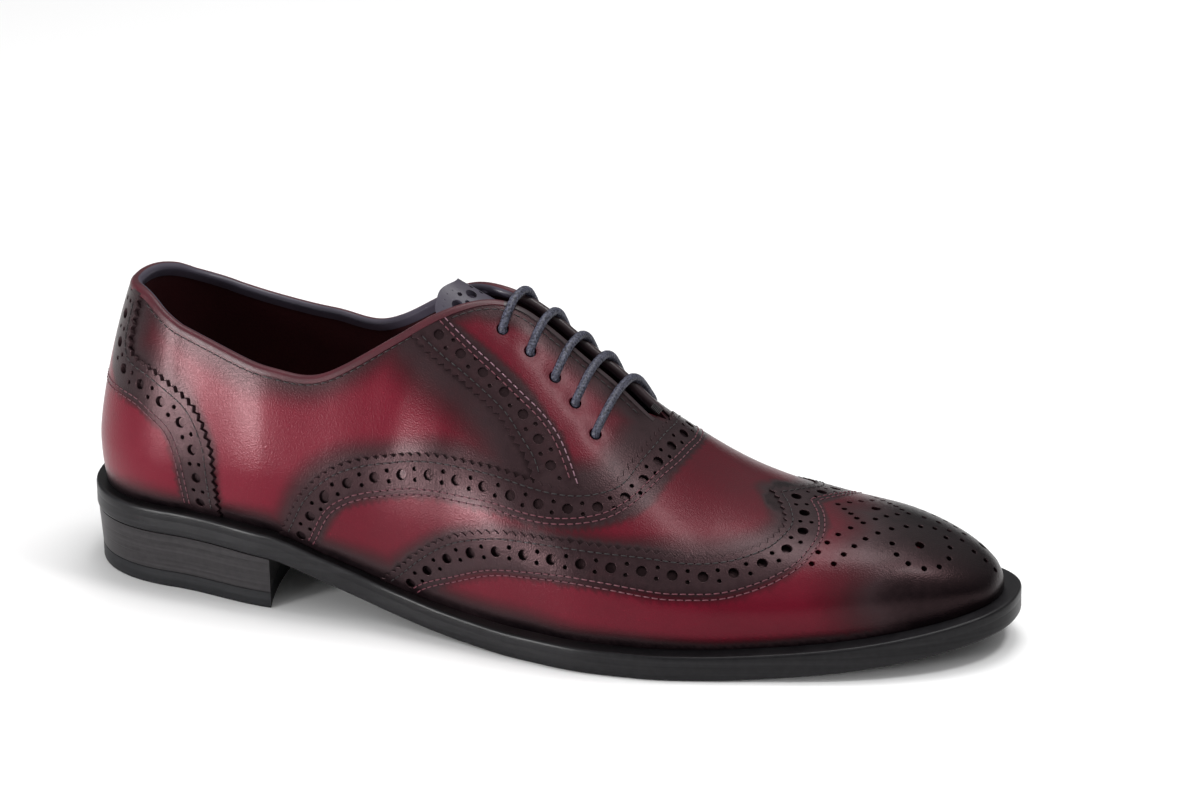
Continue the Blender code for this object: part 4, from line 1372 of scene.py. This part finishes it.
THROAT_LIFT = 1.4 * MM
DENT_DEPTH = 0.35 * MM  # at the eyelets
DENT_RADIUS = 3.2 * MM
HALF_GIRTH = 0.10  # about, at the eyelets
FLEX_PLACE = 0.36  # length share of the ankle's creases at girth share 0.3
FLEX_LEAN = 0.10
CREASES = (
    # height, how far ahead and how wide as length shares
    (-0.5 * MM, 0.0, 0.018), (0.4 * MM, 0.04, 0.022),
)


def throat_lift(x, girth):
    """The laced facings stand up to their edges instead of lying round the foot."""
    along = smooth(x, 0.42, 0.48) * fog(x, 0.575, 0.625)
    return THROAT_LIFT * smooth(girth, 0.80, 0.96) * along


def dents(x, girth, side):
    """Soft troughs and ridges that lasting and lacing leave in the leather."""
    depth = throat_lift(x, girth)
    for row in EYELETS:
        along = (x - np.where(side < 0, row[0], row[1])) * SOLE_LENGTH
        around = (girth - row[2]) * HALF_GIRTH
        depth -= DENT_DEPTH * np.exp(-(along**2 + around**2) / DENT_RADIUS**2)
    line = FLEX_PLACE + FLEX_LEAN * (girth - 0.3)
    over_side = smooth(girth, 0.25, 0.5) * fog(girth, 0.6, 0.75)
    for height, ahead, width in CREASES:
        depth += height * np.exp(-(((x - line - ahead) / width) ** 2)) * over_side
    return depth


def make_shell(name, outer, inner, spacing, material, collar_row, slot):
    """Both halves of a hollow shell, welded at the heel's back and along the crown."""
    halves = []
    start = 0
    for side in (-1, 1):
        pattern = half_shell(side)
        chart = pattern.chart
        pattern.hole(eyelet_places(side), EYELET_DIAMETER / 2, EYELET_SIDES)
        if collar_row:
            line = topline_line(side, 300, *COLLAR_ROW_SPAN).beside(side * COLLAR_ROW_INSET)
            sew(pattern, line, (0, 0), outer, "dark_stitches", dents)
        pattern.fill(spacing)
        flat, heights, _, triangles = pattern.triangulated()
        x, girth, sides = chart.knots(flat)
        lift = dents(x, girth, sides)
        outside = last_points(x, girth, sides, outer + lift + heights)
        inside = last_points(x, girth, sides, inner + lift)
        used, triangles = renumbered(facing_out(chart, flat, outside, triangles), len(flat))
        dye_and_shade_share = dye_and_shade(name, x[used], girth[used], sides[used], outside[used])
        leather = frames(chart, flat[used], outer, dents)[3]
        steep = heights[used] < STEEP
        halves.append((outside[used], inside[used], triangles + start, dye_and_shade_share, leather, steep))
        start += len(used)
    outside, inside, triangles, dye_and_shade_share, leather, steep = (np.concatenate(parts) for parts in zip(*halves))
    keys = {}
    cells = np.round(outside / (0.01 * MM)).astype(int)
    index = np.array([keys.setdefault(tuple(cell), k) for k, cell in enumerate(cells)])
    triangles = index[triangles]
    a, b, c = triangles.T
    body, faces, used = sheet_body(outside, inside, triangles[(a != b) & (b != c) & (a != c)])
    attributes = (("dye_and_shade", np.tile(dye_and_shade_share[used], 2)), ("dark", np.zeros(2 * len(used))))
    normals = corner_normals(body, faces, leather[used], steep[used])
    return root(mesh_object(name, body, faces, material, attributes, normals=normals), slot)


STITCHES = {"dark_stitches": [], "rose_stitches": [], "lilac_stitches": []}


def sew(pattern, line, margins, height, kind, shape=None, clear=None):
    """Needle holes along a line but for its two margins, and a stitch from each to the next, where seen."""
    places = line.at(spaced(margins[0], line.length - margins[1], STITCH_PITCH))
    x, girth, side = line.chart.knots(places)
    places = places[(x > THROAT_END) | (girth < topline(x, side) - ROW_DROP)]
    if clear is not None:
        places = places[clear(places)]
    pattern.pits(places)
    points, _, _, normals = frames(line.chart, places, height)
    if shape is not None:
        points = lifted(line.chart, places, height, shape)
    STITCHES[kind].append((points[:-1], points[1:], normals[:-1] + normals[1:]))


def sew_seam(pattern, seam, way, margins, height, kept=lambda line: line):
    """A seam's two rows, the second one to a side of it."""
    sew(pattern, seam, margins, height, "rose_stitches")
    sew(pattern, kept(seam.beside(way * DOUBLE_ROW_GAP)), margins, height, "rose_stitches")


def punch(pattern, middle, runs, pairs, large_seen=None, small_seen=None):
    """Broguing along a band's middle: a large hole at each run and two small ones at each of the pairs."""
    large = middle.at(runs)
    pattern.hole(large if large_seen is None else large[large_seen(large)], LARGE_HOLE / 2, LARGE_SIDES)
    for way in (-1, 1):
        small = middle.aside(pairs, way * PAIR_SPREAD)
        pattern.hole(small if small_seen is None else small[small_seen(small)], SMALL_HOLE / 2, SMALL_SIDES)


def halfway(runs):
    return (runs[1:] + runs[:-1]) / 2


def band(pattern, edge, inward, start, end):
    """Broguing between a gimped edge and its double seam."""
    middle = edge.beside(inward * BAND_INSET)
    runs = spaced(start, middle.length - end, HOLE_PITCH)
    punch(pattern, middle, runs, halfway(runs))


def below_topline(chart, teeth):
    x, girth, side = chart.knots(teeth)
    return teeth[girth < topline(x, side) - EDGE_DROP]


def over_back(x, girth):
    """Flat places round the heel's back, with x negative on the outer side."""
    side = np.where(x < 0, -1, 1)
    return BACK.flat(np.abs(x), girth(np.abs(x), side), side)


def clear_of_vamp(chart, side, margin):
    """Test for places behind the vamp's gimped edge, by a margin."""
    edge = traced(chart, VAMP_EDGE, side).beside(-side * margin)

    def test(places):
        x, girth, _ = chart.knots(places)
        edge_x, edge_girth, _ = chart.knots(edge.places)
        upper = edge_x < VAMP_SIDE_END
        over_side = girth > np.interp(x, edge_x[upper], edge_girth[upper])
        rising = edge_girth > VAMP_RISE_GIRTH
        order = np.argsort(edge_girth[rising])
        behind_crown = x < np.interp(girth, edge_girth[rising][order], edge_x[rising][order])
        return np.where(x < VAMP_TURN, over_side, behind_crown)

    return test


def make_counter():
    pattern = Pattern(BACK)
    edges = {side: traced(BACK, COUNTER_EDGE, side) for side in (-1, 1)}
    teeth = {side: below_topline(BACK, gimped(edges[side], -side)) for side in (-1, 1)}
    top_end, foot_end = COUNTER_EDGE[0][0], COUNTER_EDGE[-1][0]
    top = over_back(np.linspace(-top_end, top_end, 24), lambda x, side: topline(x, side) - EDGE_DROP)
    foot = over_back(np.linspace(foot_end, -foot_end, 90)[1:-1], lambda x, side: FEATHER_TUCK)
    pattern.border(np.concatenate([top, teeth[1], foot, teeth[-1][::-1]]))
    for side, edge in edges.items():
        row = edge.beside(side * EDGE_ROW_INSET)
        sew(pattern, row, (8 * MM, 3 * MM), COUNTER_OUTER, "dark_stitches")
        sew_seam(pattern, traced(BACK, COUNTER_SEAM, side), side, (0.0, 3 * MM), COUNTER_OUTER)
        band(pattern, edge, side, 9 * MM, 5 * MM)
    pattern.fill(1.7 * MM)
    thickness = OVERLAY_THICKNESS + 0.1 * MM
    piece = laid("counter_leather", "counter", pattern, COUNTER_OUTER, thickness, CALF)
    root(piece, "burnished_leather", "heel_counter")


def make_eyestay(side):
    chart = SIDES[side]
    pattern = Pattern(chart)
    edge = traced(chart, EYESTAY_EDGE, side)
    teeth = below_topline(chart, gimped(edge, side))
    top_x = np.linspace(THROAT_END, float(chart.knots(teeth[:1])[0][0]), 90)
    top = chart.flat(top_x, topline(top_x, side) - FACING_DROP, side)
    rows = [row for row in VAMP_EDGE if row[1] > FACING_FOOT_GIRTH]
    front = traced(chart, rows, side).beside(side * UNDER_VAMP)
    ahead = front.places[chart.knots(front.places)[1] < FACING_TOP_GIRTH]
    pattern.border(np.concatenate([teeth, ahead, top]))
    seen = clear_of_vamp(chart, side, SMALL_CLEAR)
    wide = clear_of_vamp(chart, side, LARGE_CLEAR)
    seam = traced(chart, EYESTAY_SEAM, side)
    facing = topline_line(side, 200, COLLAR_END - 0.04, THROAT_END)
    for line, inset, start, kind in (
        (edge, EDGE_ROW_INSET, 6 * MM, "dark_stitches"),
        (seam, SEAM_INSET, 5 * MM, "lilac_stitches"),
        (seam, SEAM_INSET - DOUBLE_ROW_GAP, 5 * MM, "rose_stitches"),
        (facing, -FACING_ROW_INSET, 0.0, "dark_stitches"),
    ):
        sew(pattern, line.beside(-side * inset), (start, 0.0), EYESTAY_OUTER, kind, dents, seen)
    middle = edge.beside(-side * BAND_INSET)
    runs = spaced(9 * MM, middle.length, HOLE_PITCH)
    punch(pattern, middle, runs, halfway(runs), wide, seen)
    pattern.hole(eyelet_places(side), EYELET_DIAMETER / 2, EYELET_SIDES)
    pattern.fill(1.6 * MM)
    name = "eyestay_lateral" if side < 0 else "eyestay_medial"
    thickness = EYESTAY_OUTER - BASE_OUTER + OVERLAP
    piece = laid(name + "_leather", "eyestay", pattern, EYESTAY_OUTER, thickness, CALF, dents)
    root(piece, "upper_leather", name)


def make_vamp():
    pattern = Pattern(CROWN)
    edge = across_crown(VAMP_EDGE)
    hidden = across_wing(WING_EDGE).beside(-UNDER_WING)
    shares = np.linspace(VAMP_EDGE[0][0], WING_EDGE[0][0] + 0.012, 30)[1:-1]
    lateral, medial = (CROWN.flat(shares, FEATHER_TUCK, side) for side in (-1, 1))
    pattern.border(np.concatenate([gimped(edge, 1), medial, hidden.places[::-3], lateral[::-1]]))
    sew(pattern, edge.beside(-EDGE_ROW_INSET), (4 * MM, 4 * MM), VAMP_OUTER, "dark_stitches")
    sew_seam(pattern, across_crown(VAMP_SEAM), -1, (3 * MM, 3 * MM), VAMP_OUTER)
    band(pattern, edge, -1, 7 * MM, 7 * MM)
    pattern.fill(1.8 * MM)
    piece = laid("vamp_leather", "vamp", pattern, VAMP_OUTER, VAMP_OUTER - BASE_OUTER + OVERLAP, CALF)
    root(piece, "upper_leather", "vamp")


# Medallion on the toe, in mm: forward of AXIS_SHARE and aside from the wing cap's axis, for one half
MEDALLION_HALF = (
    # diamond
    (12.0, 2.8), (14.8, 5.6), (17.4, 8.3), (20.1, 10.9), (23.0, 7.9), (25.6, 5.2), (28.2, 2.6),
    # tail behind it
    (17.2, 14.4), (14.5, 18.4), (12.3, 22.7), (10.7, 27.2), (10.0, 32.0),
    # long arc to the front
    (16.6, 31.4), (18.6, 27.4), (20.8, 23.5), (23.2, 19.7), (26.0, 16.1), (29.3, 12.8),
    (33.0, 10.0), (36.9, 7.9), (41.0, 6.2), (45.0, 3.8),
    # between the arc and the ring
    (45.6, 9.4), (50.2, 6.4),
    # beside the tip
    (55.3, 9.3), (59.8, 9.5), (64.0, 9.2),
)
MEDALLION_MIDDLE = (9.2, 31.0, 35.8, 40.4, 49.0, 61.0, 65.5)
MEDALLION_LARGE = ((21.0, 0.0), (55.5, 0.0), (39.6, 18.2), (39.6, -18.2))
RING_CENTRE = (40.4, 18.4)
RING_RADIUS = 9.1
RING_ANGLES = (30.0, -4.0, -38.0, -71.0, -103.0, -134.0, -167.0)
MEDALLION_HOLE = 1.8 * MM
MEDALLION_LARGE_HOLE = 3.0 * MM


def on_medallion(places):
    places = np.array(places) * MM
    forward = places[:, 0] + AXIS_START
    return np.column_stack([forward, wing_axis(forward) + places[:, 1]])


def medallion():
    """Centres of the small and of the large holes punched in the toe."""
    turns = np.radians(RING_ANGLES)
    ring = np.column_stack([np.cos(turns), -np.sin(turns)]) * RING_RADIUS + RING_CENTRE
    half = np.concatenate([MEDALLION_HALF, ring])
    middle = np.column_stack([MEDALLION_MIDDLE, np.zeros(len(MEDALLION_MIDDLE))])
    small = np.concatenate([half, half * (1, -1), middle])
    return on_medallion(small), on_medallion(MEDALLION_LARGE)


def make_wing():
    pattern = Pattern(CROWN)
    teeth = gimped(across_wing(WING_EDGE), 1)
    pattern.border(np.concatenate([teeth, toe_feather(WING_EDGE[0][0])[1:-1]]))
    for side in (-1, 1):

        def kept(line):
            return on_its_side(line, side)

        half = wing_half(WING_EDGE, side)
        row = kept(half.beside(side * EDGE_ROW_INSET))
        sew(pattern, row, (4 * MM, 0.0), WING_OUTER, "dark_stitches")
        sew_seam(pattern, wing_half(WING_SEAM, side), side, (3 * MM, 0.0), WING_OUTER, kept)
        middle = kept(half.beside(side * BAND_INSET))
        # the large hole on the cap's axis is punched with the outer half
        runs = middle.length - np.arange(0 if side < 0 else 1, int(middle.length / HOLE_PITCH)) * HOLE_PITCH
        runs = runs[runs > 6 * MM][::-1]
        pairs = np.append(halfway(runs), [] if side < 0 else [runs[-1] + HOLE_PITCH / 2])
        punch(pattern, middle, runs, pairs)
    small, large = medallion()
    pattern.hole(small, MEDALLION_HOLE / 2, 12)
    pattern.hole(large, MEDALLION_LARGE_HOLE / 2, LARGE_SIDES)
    pattern.fill(1.8 * MM)
    piece = laid("wing_leather", "wing", pattern, WING_OUTER, WING_OUTER - BASE_OUTER + OVERLAP, CALF)
    root(piece, "burnished_leather", "wing_cap")


def tongue_sink(x, *_):
    return -tongue_depth(x) * INSTEP_HEIGHT


def make_tongue():
    pattern = Pattern(CROWN)
    s = np.linspace(-1, 1, 61)
    start = TONGUE_START - np.where(s < 0, *TONGUE_TOP_LEAN) * smooth(np.abs(s), 0.0, 0.5)
    start += TONGUE_CORNER * smooth(np.abs(s), 0.62, 1.0) ** 2
    edge = Line(CROWN, CROWN.flat(start, 1 - np.abs(s) * (1 - tongue_edge(start)), np.where(s < 0, -1, 1)))
    shares = np.linspace(start[0], TONGUE_END, 60)[1:-1]
    medial, lateral = (CROWN.flat(shares, tongue_edge(shares), side) for side in (1, -1))
    t = np.linspace(1, -1, 21)
    front_girth = 1 - np.abs(t) * (1 - tongue_edge(TONGUE_END))
    front = CROWN.flat(np.full(len(t), TONGUE_END), front_girth, np.where(t < 0, -1, 1))
    pattern.border(np.concatenate([edge.places, medial, front, lateral[::-1]]))
    row = edge.beside(-TONGUE_ROW_INSET)
    middle = edge.beside(-TONGUE_BAND_INSET)
    runs = spaced(3 * MM, middle.length - 3 * MM, TONGUE_HOLE_PITCH)
    pattern.hole(middle.at(runs), TONGUE_LARGE_HOLE / 2, LARGE_SIDES)
    for way in (-1, 1):
        small = middle.aside(halfway(runs), way * TONGUE_PAIR_SPREAD)
        pattern.hole(small, TONGUE_SMALL_HOLE / 2, SMALL_SIDES)
    pattern.pits(row.at(spaced(2 * MM, row.length - 2 * MM, STITCH_PITCH)))
    pattern.fill(1.6 * MM)

    piece = laid("tongue_leather", "tongue", pattern, 0.0, TONGUE_THICKNESS, NAVY, tongue_sink)
    root(piece, "tongue_leather", "tongue")


BINDING_PROFILE = (
    # across in half thicknesses, then up: half thicknesses above the rim, mm below it
    [(0.98, -1.2), (1.0, -0.6)]
    + [(np.cos(a), 0.85 * np.sin(a)) for a in np.linspace(0, np.pi, 13)]
    + [(-1.0, -2.0)]
)


INSIDE_PLACE = 8  # of the profile, from where the binding faces the foot


def make_binding():
    """Rolled binding over the collar's and the facings' edges: burgundy outside, navy inside the collar."""
    x = np.concatenate([heel_shares(70), np.linspace(HEEL_CENTRE, THROAT_END + 0.012, 330)[1:]])
    # the binding lies over the counter, the bare quarters, then the facings
    heights = (0.25 * MM, -0.55 * MM, -0.55 * MM, EYESTAY_OUTER + 0.10 * MM)
    outer = np.interp(x, (0.030, 0.050, 0.370, 0.400), heights)
    inner = np.interp(x, (0.40, 0.46), (LINING_INNER - 0.45 * MM, LINING_INNER - 0.1 * MM))
    parts = []
    for side in (-1, 1):
        girth = topline(x, side)
        middle = (outer + inner) / 2 + dents(x, girth, side)
        points, _, _, normals = frames(SIDES[side], SIDES[side].flat(x, girth, side), middle)
        part = (points, normals, (outer - inner) / 2, x)
        parts.append(part if side > 0 else tuple(a[::-1] for a in part))
    points, normals, half, x = (np.concatenate([a, b[1:]]) for a, b in zip(*parts))
    ups = np.cross(unit(np.gradient(points, axis=0)), normals)
    across, up = np.array(BINDING_PROFILE).T[:, None, :, None]
    half = half[:, None, None]
    ring = points[:, None] + normals[:, None] * (across * half)
    ring = ring + ups[:, None] * np.where(up > 0, up * half, up * MM)
    count = len(BINDING_PROFILE)
    faces = tube_faces(len(points), count)
    piece = mesh_object("topline_binding", ring.reshape(-1, 3), faces, BINDING, sharp=np.radians(70))
    piece.data.materials.append(NAVY)
    piece.data.materials.append(FACING_EDGE)
    for polygon in piece.data.polygons:
        place = min(v % count for v in polygon.vertices)
        if x[polygon.vertices[0] // count] > COLLAR_END + 0.01:
            polygon.material_index = 2
        elif place >= INSIDE_PLACE:
            polygon.material_index = 1
    root(piece, "upper_leather")


def sew_bar_tack():
    """Close threads across the foot of the throat, which hold the two facings together."""
    first, last, girth, height = BAR_TACK
    x = np.linspace(first, last, BAR_TACK_THREADS)
    starts, ends = (last_points(x, girth, side, height) for side in (-1, 1))
    middle = last_points(x, 1.0, 1, height)
    up = np.cross(np.gradient(middle, axis=0), ends - starts)
    up *= np.sign(up[:, 2:])
    STITCHES["dark_stitches"].append((starts, ends, unit(up)))


STITCH_PROFILE = (
    # share of the stitch's length, rise in threads, share of the thread's radius
    (0.12, -0.40, 0.55), (0.22, -0.05, 0.90), (0.50, 0.12, 1.00), (0.78, -0.05, 0.90),
    (0.88, -0.40, 0.55),
)
STITCH_SIDES = 6


def make_stitches(name, material, slot):
    starts, ends, normals = (np.concatenate(parts) for parts in zip(*STITCHES[name]))
    length = np.linalg.norm(ends - starts, axis=1, keepdims=True)
    along, normals = unit(ends - starts), unit(normals)
    across = np.cross(normals, along)
    angles = np.arange(STITCH_SIDES)[None, :, None] * 2 * np.pi / STITCH_SIDES
    thick = THREAD_DIAMETER / 2
    rings = [
        starts[:, None]
        + along[:, None] * (share * length[:, None])
        + normals[:, None] * (rise * THREAD_DIAMETER + thick * radius * np.sin(angles))
        + across[:, None] * (thick * radius * np.cos(angles))
        for share, rise, radius in STITCH_PROFILE
    ]
    points = np.concatenate(rings, axis=1)
    per = points.shape[1]
    template = [face[::-1] for face in tube_faces(len(rings), STITCH_SIDES)]
    faces = [tuple(i + n * per for i in face) for n in range(len(points)) for face in template]
    return root(mesh_object(name, points.reshape(-1, 3), faces, material), slot)


# Lace
LACE_ORDER = (2, 4, 5, 3, 1)  # the bars in the order that the lace makes them
THROUGH = (-0.5 * MM, -1.6 * MM, -2.8 * MM)  # heights inside an eyelet


def lace_route():
    """Centre line of the lace: straight over the throat, down through the eyelets and up inside."""
    over = EYESTAY_OUTER + 0.3 * MM + LACE_DIAMETER / 2
    under = LINING_INNER - 0.05 * MM - LACE_DIAMETER / 2
    route = []

    def knot(number, side):
        row = EYELETS[number - 1]
        return np.array((row[0] if side < 0 else row[1], row[2]))

    def bar(number, start):
        for s in np.linspace(start, -start, 11)[1:-1]:
            x_l, x_m, girth = EYELETS[number - 1]
            x = x_l + (x_m - x_l) * (s + 1) / 2
            g = 1 - abs(s) * (1 - girth)
            rise = 0.1 * MM + (over - 0.1 * MM) * fog(abs(s), 0.35, 1.0)
            route.append(last_points(x, g, -1 if s < 0 else 1, rise + throat_lift(x, g)))

    def through(number, side, heights):
        route.extend(last_points(*knot(number, side), side, height) for height in heights)

    def hidden(first, last, side, lean):
        a, b = knot(first, side), knot(last, side)
        for t in (0.25, 0.5, 0.75):
            x, girth = a + (b - a) * t
            route.append(last_points(x, girth + lean, side, under))

    def end(side, ahead, below):
        x, girth = knot(1, side)
        route.append(last_points(x + ahead, girth - below, side, under))

    side = -1
    end(side, 0.006, 0.03)
    hidden(1, 2, side, -0.02)
    for index, number in enumerate(LACE_ORDER):
        through(number, side, THROUGH[::-1])
        bar(number, side)
        side = -side
        through(number, side, THROUGH)
        if index + 1 < len(LACE_ORDER):
            hidden(number, LACE_ORDER[index + 1], side, 0.02 if index % 2 else -0.02)
    end(side, 0.008, 0.02)
    return np.array(route)


def smooth_path(points, spacing):
    """Even points along a smooth curve through all the points."""
    run = np.concatenate([[0], np.cumsum(np.linalg.norm(np.diff(points, axis=0), axis=1) ** 0.5)])
    tangents = np.gradient(points, run, axis=0)
    u = np.linspace(0, 1, 24, endpoint=False)[:, None]
    dense = [
        hermite(u, run[k + 1] - run[k], points[k], points[k + 1], tangents[k], tangents[k + 1])
        for k in range(len(points) - 1)
    ]
    dense = np.concatenate(dense + [points[-1:]])
    length = running_length(dense)
    even = np.linspace(0, length[-1], int(length[-1] / spacing))
    return np.stack([np.interp(even, length, dense[:, k]) for k in range(3)], -1)


LACE_STEP = 0.28 * MM
LACE_SIDES = 24
STRANDS = 4
BRAID_PITCH = 1.3 * MM


def make_lace():
    """Round waxed cord, its braid raised in the mesh."""
    path = smooth_path(lace_route(), LACE_STEP)
    along = unit(np.gradient(path, axis=0))
    first = np.zeros_like(along)
    first[0] = np.cross(along[0], (0.3, 0.5, 0.8))
    for k in range(1, len(path)):
        first[k] = first[k - 1] - along[k] * (first[k - 1] @ along[k])
        first[k] /= np.linalg.norm(first[k])
    first[0] /= np.linalg.norm(first[0])
    second = np.cross(along, first)
    angle = np.arange(LACE_SIDES) * 2 * np.pi / LACE_SIDES
    turns = np.arange(len(path))[:, None] * LACE_STEP / BRAID_PITCH * 2 * np.pi
    braid = np.maximum(np.cos(STRANDS * angle[None] + turns), np.cos(STRANDS * angle[None] - turns))
    radius = LACE_DIAMETER / 2 * (0.93 + 0.07 * braid)
    points = path[:, None] + first[:, None] * (radius * np.cos(angle))[..., None]
    points = points + second[:, None] * (radius * np.sin(angle))[..., None]
    piece = mesh_object("lace", points.reshape(-1, 3), tube_faces(len(path), LACE_SIDES), WAXED_CORD)
    root(piece, "lace_cord", *[f"lace_bar_{k}" for k in range(1, 6)])


def make_camera():
    azimuth, elevation = np.radians(CAMERA_AZIMUTH), np.radians(CAMERA_ELEVATION)
    level = np.cos(elevation)
    back = Vector((np.sin(azimuth) * level, -np.cos(azimuth) * level, np.sin(elevation)))
    data = bpy.data.cameras.new("camera")
    data.lens = CAMERA_LENS
    data.sensor_width = 36.0
    data.clip_start = 0.05
    data.clip_end = 20.0
    camera = bpy.data.objects.new("camera", data)
    bpy.context.scene.collection.objects.link(camera)
    right = (-back).cross(Vector((0, 0, 1))).normalized()
    up = right.cross(-back)
    roll = np.radians(CAMERA_ROLL)
    tilted_right = right * np.cos(roll) + up * np.sin(roll)
    tilted_up = -right * np.sin(roll) + up * np.cos(roll)
    turn = Matrix((tilted_right, tilted_up, back)).transposed()
    camera.matrix_world = Matrix.Translation(Vector(CAMERA_TARGET) + back * CAMERA_DISTANCE) @ turn.to_4x4()
    bpy.context.scene.camera = camera


def area_light(name, place, target, size, power):
    data = bpy.data.lights.new(name, "AREA")
    data.shape = "RECTANGLE"
    data.size, data.size_y = size
    data.energy = power
    light = bpy.data.objects.new(name, data)
    light.location = place
    light.rotation_mode = "QUATERNION"
    light.rotation_quaternion = (Vector(target) - Vector(place)).to_track_quat("-Z", "Y")
    bpy.context.scene.collection.objects.link(light)


HORIZON = (0.16, 0.16, 0.16)
ZENITH = (1.0, 1.0, 1.0)


FLOOR_HALF = 6.0
LIGHTS = (
    # name, place, target, size, watts
    ("overhead", (0.06, 0.24, 1.10), (0.0, 0.0, 0.05), (0.55, 0.35), 6.5),
    ("left_low", (-0.80, -1.04, 0.15), (-0.05, 0.0, 0.05), (0.28, 0.22), 15.5),
    ("left_high", (-0.40, -1.12, 0.43), (-0.04, 0.0, 0.05), (0.13, 0.13), 0.9),
    ("above_toe", (0.58, 0.0, 1.02), (0.10, -0.01, 0.03), (0.20, 0.20), 4.0),
)


def make_studio():
    corners = [(x * FLOOR_HALF, y * FLOOR_HALF, 0) for x, y in ((-1, -1), (1, -1), (1, 1), (-1, 1))]
    mesh_object("floor", corners, [(0, 1, 2, 3)], floor_material())
    world = bpy.data.worlds.new("studio")
    bpy.context.scene.world = world
    world.use_nodes = True
    tree = world.node_tree
    sky = node(tree, "ShaderNodeTexCoord").outputs["Generated"]
    up = plug(node(tree, "ShaderNodeSeparateXYZ"), Vector=sky)
    glow = ramp(tree, up.outputs["Z"], ((0.25, HORIZON), (0.75, ZENITH)))
    plug(tree.nodes["Background"], Color=glow, Strength=0.80)
    for light in LIGHTS:
        area_light(*light)
    bpy.context.scene.view_settings.view_transform = "Standard"
    bpy.context.scene.view_settings.look = "None"


make_outsole()
make_welt()
make_insole()
make_heel()
quarters = make_shell("quarters", BASE_OUTER, BASE_INNER, 2.0 * MM, CALF, True, "upper_leather")
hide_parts("upper")
make_shell("lining", LINING_OUTER, LINING_INNER, 3.0 * MM, LINING, False, "lining_leather")
make_counter()
for side in (-1, 1):
    make_eyestay(side)
make_vamp()
make_wing()
make_tongue()
make_binding()
sew_bar_tack()
for name, thread in (("dark", DARK_THREAD), ("rose", ROSE_THREAD), ("lilac", LILAC_THREAD)):
    make_stitches(name + "_stitches", thread, "lace_cord")
make_lace()
make_camera()
make_studio()

bpy.context.view_layer.update()
